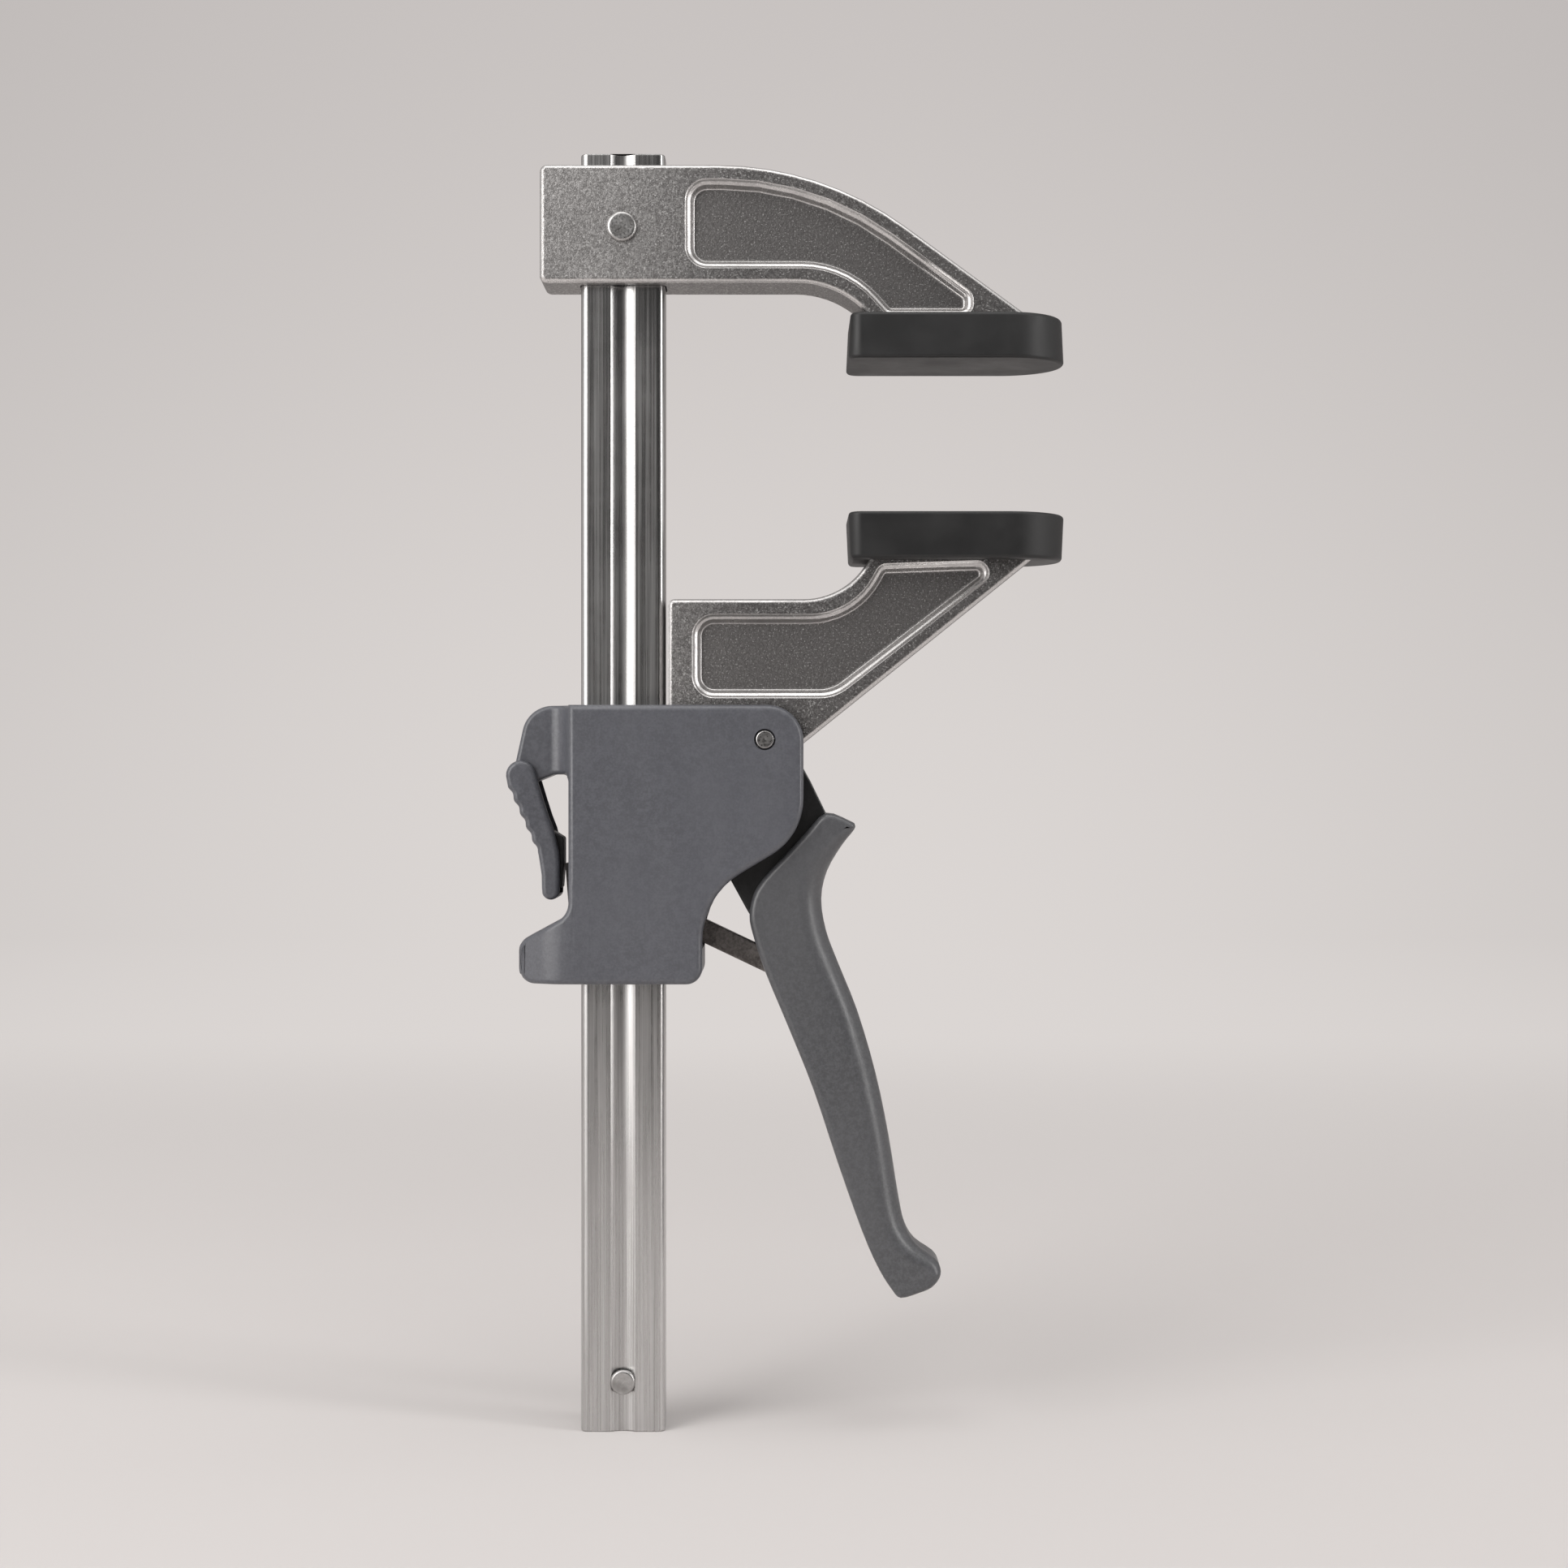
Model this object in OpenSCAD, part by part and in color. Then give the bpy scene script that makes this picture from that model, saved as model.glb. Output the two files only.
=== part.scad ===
// Quick release bar clamp: a grooved steel rail with a cast jaw riveted to its top, and a
// carriage that slides on it. Squeezing the handle drives a toggle link that lifts the sliding
// jaw, a locking plate holds the carriage on the rail, and the release lever squares that plate.
// The bar stands along Z with its foot at the origin. X points to the jaws, Y to the back.

/* [Guide bar] */
// Width of the rail
bar_w = 22; // [18:0.5:26]
// Thickness of the rail
bar_t = 10.5; // [9:0.25:12]
// Length of the rail
bar_l = 334.2; // [300:1:420]
// Rounding of the rail's long edges
bar_edge_r = 2; // [0.5:0.25:3]
// Bevel on the ends of the rail
bar_end_bevel = 0.6; // [0.2:0.1:1.5]
// Width of the groove down each face
groove_w = 6.1; // [4:0.1:8]
// Depth of that groove
groove_d = 2; // [1:0.1:2.6]
// Height of the stop pin above the foot
stop_pin_z = 13.1; // [9:0.5:30]
// Diameter of the stop pin's heads
stop_head_d = 6.5; // [5:0.1:8]
// Diameter of the stop pin and of its hole
stop_pin_d = 4; // [3:0.1:4.5]
// How far the stop pin's heads stand out of the rail
stop_head_proud = 1.1; // [0.6:0.1:1.4]

/* [Arms] */
// Thickness of both cast arms
arm_t = 18.6; // [16.6:0.2:20]
// Rounding of the arms' edges
arm_edge_r = 1.3; // [0.6:0.1:2]
// Rounding of the arms' outline corners
arm_corner_r = 1.8; // [1.4:0.1:3]
// Width of the rim left round a recessed panel
panel_rim = 4.1; // [3:0.1:5]
// Depth of a recessed panel
panel_d = 3.2; // [1:0.1:4]
// How far a panel's wall slopes in
panel_slope = 2; // [1:0.1:2.6]
// Rounding of a panel's corners
panel_corner_r = 5.3; // [4:0.1:6]

/* [Fixed jaw] */
// How far the rail stands out above the jaw
bar_proud = 3.7; // [2:0.1:8]
// Height of the jaw's block
block_h = 30.7; // [28:0.1:36]
// How far the block reaches behind the rail
block_heel = 10.4; // [8:0.1:14]
// How far the clamping face hangs below the block
jaw_drop = 20.6; // [20:0.1:26]
// Radius of the arm's long upper curve
arch_r = 83; // [60:1:84]
// Radius of the arm's lower curve
throat_r = 25; // [15:0.5:25.5]
// Diameter of the jaw's rivet and of its hole
rivet_d = 5; // [4:0.1:6]
// Diameter of the rivet's heads
rivet_head_d = 7.8; // [7:0.1:10]
// Height of the rivet's heads
rivet_head_h = 1.2; // [0.8:0.1:2]

/* [Pads] */
// Length of a pad
pad_l = 56.9; // [54:0.1:66]
// Width of a pad
pad_w = 32; // [28:0.5:36]
// Thickness of a pad
pad_t = 12; // [10:0.1:14]
// Rounding of the pad's square end
pad_corner_r = 3.5; // [2:0.1:6]
// Rounding of the pad's edges
pad_edge_r = 0.9; // [0.4:0.1:1.4]
// How much smaller the pad is at its back than at its face
pad_draft = 0.6; // [0.2:0.1:1.2]
// Distance from the rail's middle to the pads
pad_x = 58.8; // [57:0.1:62]
// Thickness of the rubber in front of the arm's foot
pad_skin = 6; // [4:0.1:8]

/* [Carriage place] */
// Gap between the pads as shown
opening = 39.5; // [30:0.5:60]
// Height of the sliding pad's face over the housing
pad_over_shell = 49.8; // [48:0.1:52]

/* [Housing] */
// Height of the housing
shell_h = 72.4; // [72:0.1:74]
// Depth of the housing over both shells
shell_t = 27; // [26:0.2:30]
// Thickness of the shells' edge walls
shell_wall = 2.3; // [2:0.1:2.4]
// Thickness of the shells' faces
shell_face = 2.7; // [2.2:0.1:2.7]
// Rounding of the shells' outer edges
shell_edge_r = 1.6; // [0.6:0.1:1.8]
// How far the housing reaches towards the jaws
shell_reach = 47.2; // [46:0.1:48]
// How far its lower part reaches
shell_low_reach = 21; // [20.6:0.1:22]
// How far the foot reaches the other way
foot_reach = 27; // [25:0.1:30]
// Half the thickness of the ear
ear_half = 5; // [4:0.1:5]

/* [Handle] */
// Diameter of the handle's pin
pin_d = 4.9; // [4:0.1:6]
// Distance of the pin behind the housing's end
pin_inset = 10; // [9.6:0.1:10.4]
// Distance of the pin below the housing's top
pin_drop = 9; // [8.8:0.1:9.4]
// Length of the grip, measured along the rail
grip_l = 126.4; // [110:0.5:140]
// Reach of the grip away from the rail
grip_reach = 49.9; // [46:0.1:54]
// Thickness of the grip
grip_t = 18.4; // [16:0.2:20]
// Rounding of the grip on its outer side
grip_outer_r = 6.5; // [3:0.1:7]
// Rounding of the grip on its inner side
grip_inner_r = 1.6; // [0.8:0.1:2.4]
// Thickness of the dark inner lever
core_t = 10; // [8:0.2:10.4]
// Radius of the inner lever's hub
hub_r = 7.5; // [6:0.1:7.6]

/* [Toggle] */
// Thickness of the toggle link
link_t = 4.4; // [3:0.1:4.6]
// Width of the toggle link
link_w = 5.8; // [4.6:0.1:6.2]
// Diameter of the link's pins
link_pin_d = 3; // [2.4:0.1:3.4]
// Rise of the jaw at full squeeze
jaw_travel = 13.4; // [6:0.1:14]

/* [Brake and release] */
// Thickness of the brake plate
brake_t = 3; // [2:0.1:3.2]
// Tilt of the brake plate when it grips
brake_tilt = 4.5; // [3:0.1:4.8]
// Diameter of the brake plate's ledge pin
ledge_pin_d = 3; // [2:0.1:3.4]
// Width of the release lever
lever_t = 14.6; // [14:0.2:16]
// Thickness of the release lever's walls
lever_wall = 1.6; // [1.2:0.1:1.7]
// Diameter of the release lever's studs
stud_d = 2; // [1.6:0.1:2.2]

/* [Fits] */
// Gap between the rail and what slides on it
bar_gap = 0.35; // [0.3:0.05:0.5]
// Gap round a turning pin
pin_gap = 0.05; // [0.02:0.01:0.1]
// Gap between parts that seat on each other
seat_gap = 0.1; // [0.05:0.01:0.2]
// Gap between parts that pass each other
pass_gap = 0.3; // [0.2:0.05:0.4]

/* [Hidden] */
over = bar_w / 11;          // how far a cut runs past what it cuts
arc_step = 12;              // degrees between two points of a rounded corner
edge_steps = 3;             // bands in a rounded edge

// Heights along the rail, from the fixed jaw down
block_top_z = bar_l - bar_proud;
block_low_z = block_top_z - block_h;
fixed_face_z = block_low_z - jaw_drop;
fixed_back_z = fixed_face_z + pad_t;
slide_face_z = fixed_face_z - opening;
slide_back_z = slide_face_z - pad_t;
shell_top_z = slide_face_z - pad_over_shell;
shell_low_z = shell_top_z - shell_h;
pin_x = shell_reach - pin_inset;
pin_z = shell_top_z - pin_drop;
rivet_z = block_low_z + block_h * 0.469;

// The arms' feet, on which the pads sit
foot_x0 = pad_x + pad_l * 0.09;
foot_x1 = pad_x + pad_l * 0.825;
sole_t = pad_t * 0.3;
sole_x0 = pad_x + pad_l * 0.07;
sole_x1 = pad_x + pad_l * 0.93;
sole_w = pad_w * 0.72;

// The space between the shells
cavity_half = shell_t / 2 - shell_face;
shell_x0 = -(bar_w / 2 + bar_gap + shell_wall);
slot_x = bar_w / 2 + bar_gap + pass_gap;
mouth_z = shell_low_z + shell_h * 0.126;
slope_z = shell_low_z + shell_h * 0.3145;
bend_z = shell_low_z + shell_h * 0.5315;

// The sliding jaw's tail, which runs down beside the rail
tail_x0 = bar_w / 2 + bar_gap + pass_gap * 2;
tail_w = shell_reach * 0.161;
tail_x1 = tail_x0 + tail_w;
tail_half = bar_t / 2 + bar_gap - seat_gap;
tail_z0 = shell_low_z + shell_h * 0.167;
link_in_x = tail_x0 + tail_w * 0.54;
link_in_z = tail_z0 + tail_w * 0.49;
grip_x0 = pin_x - grip_reach * 0.0808;
link_out_x = grip_x0 + grip_reach * 0.174;
link_out_z = link_in_z - grip_l * 0.0973;
strap_t = bar_w * 0.05;
strap_z0 = shell_low_z + shell_h * 0.45;
strap_h = shell_h * 0.166;
strap_rivet_d = strap_t * 2;

// The brake plate and the pieces round it
ledge_x = shell_x0 - shell_wall * 0.7;
brake_z = shell_low_z + shell_h * 0.116;
ledge_z = brake_z + ledge_pin_d / 2 + seat_gap;
brake_x0 = ledge_x - ledge_pin_d * 0.7;
brake_x1 = shell_low_reach - shell_wall - pass_gap * 4;
brake_half = cavity_half - pass_gap * 6;
tab_t = brake_t * 0.45;
tab_h = shell_h * 0.313;
spring_x = (brake_x1 + bar_w / 2) / 2;
spring_r = (brake_x1 - bar_w / 2) * 0.38;
floor_z = shell_low_z + shell_wall;

// The release lever's hinge, in the tip of the ear
hinge_x = -foot_reach * 0.985;
hinge_z = shell_low_z + shell_h * 0.7486;
lever_l = shell_h * 0.479;
lever_r = lever_l * 0.1125;

function unit(v) = v / norm(v);
function flat(p) = [p.x, p.y];
function mix(a, b, t) = a + (b - a) * t;
function left_of(a, b) = let (d = unit(b - a)) [-d.y, d.x];
function pick(r, i) = is_list(r) ? r[i] : r;

// The arc that rounds corner b between a and c
function corner_arc(a, b, c, r) = r <= 0 ? [b] :
    let (u = unit(a - b), v = unit(c - b), turn = acos(u * v),
        middle = b + unit(u + v) * r / sin(turn / 2),
        start = b + u * r / tan(turn / 2) - middle, stop = b + v * r / tan(turn / 2) - middle,
        a0 = atan2(start.y, start.x), a1 = atan2(stop.y, stop.x),
        sweep = (a1 - a0 + 540) % 360 - 180, n = max(2, ceil(abs(sweep) / arc_step)))
    [for (i = [0:n]) middle + r * [cos(a0 + sweep * i / n), sin(a0 + sweep * i / n)]];

// An outline from its corners, each [x, z, radius], counter-clockwise
function rounded(p) = let (n = len(p))
    [for (i = [0:n - 1])
        each corner_arc(flat(p[(i + n - 1) % n]), flat(p[i]), flat(p[(i + 1) % n]), p[i].z)];

// The point of an outline moved inwards by e
function inner_point(p, i, e) = let (n = len(p), b = p[i],
        n1 = left_of(p[(i + n - 1) % n], b), n2 = left_of(b, p[(i + 1) % n]))
    b + (n1 + n2) * e / (1 + n1 * n2);
function inset(p, e) = [for (i = [0:len(p) - 1]) inner_point(p, i, e)];
function with_radii(p, r) = [for (i = [0:len(p) - 1]) [p[i].x, p[i].y, r[i]]];

// A smooth closed curve through an outline's points
function spline_point(a, b, c, d, t) = 0.5 * (2 * b + (c - a) * t
    + (2 * a - 5 * b + 4 * c - d) * t * t + (3 * b - a - 3 * c + d) * t * t * t);
function smooth_outline(p, steps) = let (n = len(p)) [for (i = [0:n - 1]) for (k = [0:steps - 1])
    spline_point(p[(i + n - 1) % n], p[i], p[(i + 1) % n], p[(i + 2) % n], k / steps)];

// Angles of the bands of a rounded edge, from the face to the side
function edge_bands(r) = pick(r, 0) == 0 ? [90] : [for (k = [0:edge_steps]) 90 * k / edge_steps];

// Triangles that fill a counter-clockwise outline, cut off one corner at a time
function turns_left(a, b, c) = (b.x - a.x) * (c.y - a.y) - (b.y - a.y) * (c.x - a.x) > 0;
function is_ear(p, ids, k) =
    let (n = len(ids), a = p[ids[(k + n - 1) % n]], b = p[ids[k]], c = p[ids[(k + 1) % n]])
    turns_left(a, b, c) && len([for (i = [2:n - 2]) let (q = p[ids[(k + i) % n]])
        if (turns_left(a, b, q) && turns_left(b, c, q) && turns_left(c, a, q)) i]) == 0;
function first_ear(p, ids, k = 0) =
    k >= len(ids) - 1 || is_ear(p, ids, k) ? k : first_ear(p, ids, k + 1);
function filled(p, ids) = len(ids) == 3 ? [ids] :
    let (n = len(ids), k = first_ear(p, ids))
    concat([[ids[(k + n - 1) % n], ids[k], ids[(k + 1) % n]]],
        filled(p, [for (i = [0:n - 1]) if (i != k) ids[i]]));

// A ring in space as seen from the front
function seen(ring) = [for (q = ring) [q.x, q.z]];

// Both end faces of stacked rings of n points: the first ring is outline p0, the last is p1
function end_faces(p0, p1, base) = concat(
    [for (t = filled(p0, [for (i = [0:len(p0) - 1]) i])) [t[2], t[1], t[0]]],
    [for (t = filled(p1, [for (i = [0:len(p1) - 1]) i])) [base + t[0], base + t[1], base + t[2]]]);

// A solid between y0 and y1 whose edges are rounded by r0 and r1, and which is smaller by
// draft at y1 than at y0
module rounded_plate(p, y0, y1, r0, r1, draft = 0) {
    n = len(p);
    front = [for (a = edge_bands(r0)) [for (i = [0:n - 1]) let (r = pick(r0, i),
        q = inner_point(p, i, r * (1 - sin(a)))) [q.x, y0 + r * (1 - cos(a)), q.y]]];
    back = [for (a = edge_bands(r1)) [for (i = [0:n - 1]) let (r = pick(r1, i),
        q = inner_point(p, i, draft + r * (1 - sin(a)))) [q.x, y1 - r * (1 - cos(a)), q.y]]];
    rings = concat(front, [for (k = [len(back) - 1:-1:0]) back[k]]);
    last = len(rings) - 1;
    polyhedron(points = [for (ring = rings) each ring],
        faces = concat(end_faces(seen(rings[0]), seen(rings[last]), last * n),
            [for (k = [0:last - 1]) for (i = [0:n - 1]) let (j = (i + 1) % n) each [
                [k * n + i, k * n + j, (k + 1) * n + j], [k * n + i, (k + 1) * n + j, (k + 1) * n + i]]]));
}

// A flat plate of outline p between y0 and y1
module plate(p, y0, y1) {
    translate([0, y1, 0]) rotate([90, 0, 0]) linear_extrude(y1 - y0) polygon(p);
}

// Ring that rounds the edge of a flat plate at y; side is 1 on its front and -1 on its back
module edge_cut(p, y, r, side) {
    past = 0.15;
    bands = [for (a = [0:30:90]) r * [1 - sin(a), 1 - cos(a)]];
    section = concat([bands[0] + (bands[0] - bands[1]) * past * 2], [bands[1], bands[2]],
        [bands[3] + (bands[3] - bands[2]) * past], [-r * past * [1, 1]]);
    n = len(p);
    m = len(section);
    polyhedron(points = [for (i = [0:n - 1]) for (q = section) let (w = inner_point(p, i, q.x))
        [w.x, y + side * q.y, w.y]],
        faces = [for (i = [0:n - 1]) for (k = [0:m - 1])
            let (a = i * m, b = (i + 1) % n * m, j = (k + 1) % m)
            each (side < 0 ? [[a + k, b + j, a + j], [a + k, b + k, b + j]] :
                [[a + k, a + j, b + j], [a + k, b + j, b + k]])]);
}

// A flat plate with rounded edges, made so that its faces stay whole when they are cut
module soft_plate(p, y0, y1, r0, r1) {
    difference() {
        plate(p, y0, y1);
        if (r0 > 0) edge_cut(p, y0, r0, 1);
        if (r1 > 0) edge_cut(p, y1, r1, -1);
    }
}

module box(low, high) {
    translate(low) cube(high - low);
}

// A round bar along Y
module cross_pin(x, z, r, y0, y1) {
    translate([x, y1, z]) rotate([90, 0, 0]) cylinder(h = y1 - y0, r = r, $fn = 48);
}

// A round wire along points, closed at both ends
module wire(path, r, sides = 6) {
    n = len(path);
    rings = [for (i = [0:n - 1]) let (t = unit(path[min(i + 1, n - 1)] - path[max(i - 1, 0)]),
        u = unit(cross(t, abs(t.z) < 0.9 ? [0, 0, 1] : [0, 1, 0])), v = cross(t, u))
        [for (k = [0:sides - 1]) path[i] + r * (cos(360 * k / sides) * u + sin(360 * k / sides) * v)]];
    polyhedron(points = [for (ring = rings) each ring],
        faces = concat([[for (k = [0:sides - 1]) k]], [[for (k = [sides - 1:-1:0]) (n - 1) * sides + k]],
            [for (i = [0:n - 2]) for (k = [0:sides - 1]) let (j = (k + 1) % sides) each [
                [i * sides + k, (i + 1) * sides + j, i * sides + j],
                [i * sides + k, (i + 1) * sides + k, (i + 1) * sides + j]]]));
}

// Section of the rail, rounded outside, with a round-bottomed groove in both faces
function bar_section(gap = 0) = let (w = bar_w / 2 + gap, t = bar_t / 2 + gap, g = groove_w / 2,
        s = groove_w * 0.2, y = t - groove_d, lip = groove_d * 0.2, wall = norm([s, groove_d]),
        r = min((g - s) * 0.97, wall * 0.8) / tan(atan(groove_d / s) / 2))
    gap > 0 ?
    rounded([[-w, -t, bar_edge_r], [w, -t, bar_edge_r], [w, t, bar_edge_r], [-w, t, bar_edge_r]]) :
    rounded([[-w, -t, bar_edge_r], [-g, -t, lip], [-g + s, -y, r], [g - s, -y, r], [g, -t, lip],
        [w, -t, bar_edge_r], [w, t, bar_edge_r], [g, t, lip], [g - s, y, r], [-g + s, y, r],
        [-g, t, lip], [-w, t, bar_edge_r]]);

// Everything of a bevelled block that is bar_w by bar_t by bar_l, seen along one side
module bevelled_profile(half) {
    b = bar_end_bevel;
    polygon([[-half + b, 0], [half - b, 0], [half, b], [half, bar_l - b], [half - b, bar_l],
        [-half + b, bar_l], [-half, bar_l - b], [-half, b]]);
}

module guide_bar() color("silver") difference() {
    intersection() {
        linear_extrude(bar_l) polygon(bar_section());
        translate([0, bar_t, 0]) rotate([90, 0, 0]) linear_extrude(bar_t * 2) bevelled_profile(bar_w / 2);
        rotate([90, 0, 90]) translate([0, 0, -bar_w])
            linear_extrude(bar_w * 2) bevelled_profile(bar_t / 2);
    }
    cross_pin(0, rivet_z, rivet_d / 2, -bar_t, bar_t);
    cross_pin(0, stop_pin_z, stop_pin_d / 2, -bar_t, bar_t);
}

// Pin with two domed heads whose undersides seat at y = seat
module headed_pin(z, shank_d, head_d, head_h, seat) {
    crown = head_h * 0.35;
    translate([0, 0, z]) rotate([90, 0, 0]) rotate_extrude($fn = 64) polygon([
        [0, -seat - head_h], [head_d / 2 - crown, -seat - head_h], [head_d / 2, -seat - head_h + crown],
        [head_d / 2, -seat], [shank_d / 2 - pin_gap / 2, -seat], [shank_d / 2 - pin_gap / 2, seat],
        [head_d / 2, seat], [head_d / 2, seat + head_h - crown], [head_d / 2 - crown, seat + head_h],
        [0, seat + head_h]]);
}

module bar_stop_pin() color("gainsboro")
    headed_pin(stop_pin_z, stop_pin_d, stop_head_d, stop_head_proud, bar_t / 2);

module fixed_jaw_rivet() color("gainsboro")
    headed_pin(rivet_z, rivet_d, rivet_head_d, rivet_head_h, arm_t / 2);

// Corners of the fixed arm
heel_x = -(bar_w / 2 + block_heel);
arch_x = mix(heel_x, foot_x1, 0.5765);
fixed_throat_x = foot_x0 - jaw_drop * 0.375;
function toe_line_z(x) = mix(block_top_z, fixed_back_z, (x - arch_x) / (foot_x1 - arch_x));
fixed_corners = [
    [heel_x, block_low_z, arm_corner_r], [fixed_throat_x, block_low_z, throat_r],
    [foot_x0 + pass_gap, fixed_back_z, 0], [foot_x0 + pass_gap, fixed_back_z - sole_t, 0],
    [foot_x1, fixed_back_z - sole_t, 0], [foot_x1, fixed_back_z, 0],
    [arch_x, block_top_z, arch_r], [heel_x, block_top_z, arm_corner_r]];

// The recessed panel follows the arm's edges at the width of its rim
panel_x0 = bar_w / 2 + panel_rim * 1.43;
panel_x1 = foot_x1 - panel_rim * 3.6;
fixed_panel = let (e = panel_rim, low = fixed_back_z - e * 0.9, x1 = panel_x1 + e)
    with_radii(inset([[panel_x0 - e, block_low_z], [fixed_throat_x, block_low_z],
        [foot_x0 + (fixed_back_z - low) * 0.9, low], [x1, low], [x1, toe_line_z(x1)],
        [arch_x, block_top_z], [panel_x0 - e, block_top_z]], e),
        [panel_corner_r, throat_r, panel_slope * 1.3, panel_slope * 1.3, panel_corner_r * 0.6,
        arch_r * 0.9, panel_corner_r]);

// Cut for one recessed panel: it slopes from the face to its floor
module panel_cut(corners) {
    p = rounded(corners);
    for (side = [0, 1]) mirror([0, side, 0]) {
        y0 = -arm_t / 2;
        n = len(p);
        floor_p = inset(p, panel_slope);
        rim_p = inset(p, -panel_slope * over / panel_d);
        rings = [[for (q = rim_p) [q.x, y0 - over, q.y]], [for (q = floor_p) [q.x, y0 + panel_d, q.y]]];
        polyhedron(points = [for (ring = rings) each ring],
            faces = concat(end_faces(rim_p, floor_p, n),
                [for (i = [0:n - 1]) let (j = (i + 1) % n) each [[i, j, n + j], [i, n + j, n + i]]]));
    }
}

// The sole plate cast under an arm's foot, which holds the pad
function sole_outline() = rounded([[sole_x0, -sole_w / 2, pad_corner_r * 0.6],
    [sole_x1, -sole_w / 2, sole_w * 0.45], [sole_x1, sole_w / 2, sole_w * 0.45],
    [sole_x0, sole_w / 2, pad_corner_r * 0.6]]);

module sole(z0) {
    translate([0, 0, z0]) linear_extrude(sole_t) polygon(sole_outline());
}

module fixed_jaw() color("dimgray") {
    difference() {
        soft_plate(rounded(fixed_corners), -arm_t / 2, arm_t / 2, arm_edge_r, arm_edge_r);
        panel_cut(fixed_panel);
        translate([0, 0, block_low_z - over])
            linear_extrude(block_h + over * 2) polygon(bar_section(seat_gap));
        cross_pin(0, rivet_z, rivet_d / 2, -arm_t, arm_t);
    }
    sole(fixed_face_z + pad_skin);
}

// A pad: square at the rail's end, round at the tip, with a pocket for the arm's sole
function pad_outline() = let (h = pad_w / 2, x1 = pad_x + pad_l)
    rounded([[pad_x, -h, pad_corner_r], [x1, -h, h * 0.99], [x1, h, h * 0.99], [pad_x, h, pad_corner_r]]);

// The pad's solid with its pocket, clamping face at z = 0 and above it the arm, up to its toe
module pad_solid(toe_x) {
    difference() {
        mirror([0, 1, 0]) rotate([90, 0, 0])
            rounded_plate(pad_outline(), 0, pad_t, pad_edge_r, pad_edge_r, pad_draft);
        box([foot_x0 - seat_gap, -arm_t / 2 - seat_gap, pad_t - sole_t - seat_gap],
            [toe_x + seat_gap, arm_t / 2 + seat_gap, pad_t + over]);
        translate([0, 0, pad_skin - seat_gap]) linear_extrude(sole_t + seat_gap * 2)
            polygon(inset(sole_outline(), -seat_gap));
    }
}

module fixed_jaw_pad() color("#262628") translate([0, 0, fixed_face_z]) pad_solid(foot_x1);
module sliding_jaw_pad() color("#262628")
    translate([0, 0, slide_face_z]) mirror([0, 0, 1]) pad_solid(under_x(slide_back_z));

// Corners of the sliding arm above the housing, and the slant of its underside
arm_top_z = slide_back_z - jaw_drop * 0.495;
slide_x0 = tail_x0;
slide_slant = 0.804;
function under_x(z) = foot_x1 + arm_corner_r * 0.4 - (slide_back_z - z) / slide_slant;
root_z = shell_top_z - shell_h * 0.192;
slide_throat_x = foot_x0 - jaw_drop * 0.31;
slide_throat_r = throat_r * 0.76;
slide_corners = [[slide_x0, root_z, 0], [under_x(root_z), root_z, 0],
    [under_x(slide_back_z), slide_back_z, 0], [under_x(slide_back_z), slide_back_z + sole_t, 0],
    [foot_x0 + pass_gap, slide_back_z + sole_t, 0], [foot_x0 + pass_gap, slide_back_z, 0],
    [slide_throat_x, arm_top_z, slide_throat_r], [slide_x0, arm_top_z, arm_corner_r]];
slide_panel_x0 = panel_x0 + panel_rim * 0.4;
slide_panel = let (e = panel_rim, low = shell_top_z - panel_rim * 0.5, high = slide_back_z + e * 0.7)
    with_radii(inset([[slide_panel_x0 - e, low], [under_x(low), low], [under_x(high), high],
        [foot_x0 + (high - slide_back_z) * 0.3, high], [slide_throat_x, arm_top_z],
        [slide_panel_x0 - e, arm_top_z]], e),
        [panel_corner_r, slide_throat_r * 0.6, panel_corner_r * 0.55, panel_slope * 1.3,
        slide_throat_r, panel_corner_r]);

module sliding_jaw() color("dimgray") {
    difference() {
        union() {
            soft_plate(rounded(slide_corners), -arm_t / 2, arm_t / 2, arm_edge_r, arm_edge_r);
            plate([[tail_x0, tail_z0], [tail_x1, tail_z0],
                [tail_x1, root_z + over], [tail_x0, root_z + over]], -tail_half, tail_half);
        }
        panel_cut(slide_panel);
        // Room for the handle's hub, open downwards
        room_r = hub_r + pass_gap * 3;
        cross_pin(pin_x, pin_z, room_r, -arm_t, arm_t);
        box([pin_x - room_r, -arm_t, root_z - over], [pin_x + room_r, arm_t, pin_z]);
        // Fork for the toggle link, with a slot in which its pin floats
        box([tail_x0 - over, -link_t / 2 - pass_gap / 2, tail_z0 - over],
            [tail_x1 + over, link_t / 2 + pass_gap / 2, link_in_z + link_w * 0.9]);
        link_slot();
        for (z = strap_rivet_heights()) cross_pin(strap_rivet_x, z, strap_rivet_d / 2, -arm_t, arm_t);
    }
    sole(slide_face_z - pad_skin - sole_t);
}

// The link's pin moves a little across the fork while the jaw rises
module link_slot() {
    r = link_pin_d / 2;
    low = link_in_z - r - pin_gap * 3;
    high = link_in_z + r + pass_gap * 3.2;
    x0 = tail_x0 + pass_gap * 3;
    x1 = link_in_x + r + pin_gap * 3;
    plate(rounded([[x0, low, r * 0.9], [x1, low, r * 0.9], [x1, high, r * 0.9], [x0, high, r * 0.9]]),
        -arm_t, arm_t);
}

// A U of strip steel that ties the tail to the rail
strap_rivet_x = tail_x0 + tail_w * 0.5;
function strap_rivet_heights() = [strap_z0 + strap_h * 0.25, strap_z0 + strap_h * 0.75];

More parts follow.
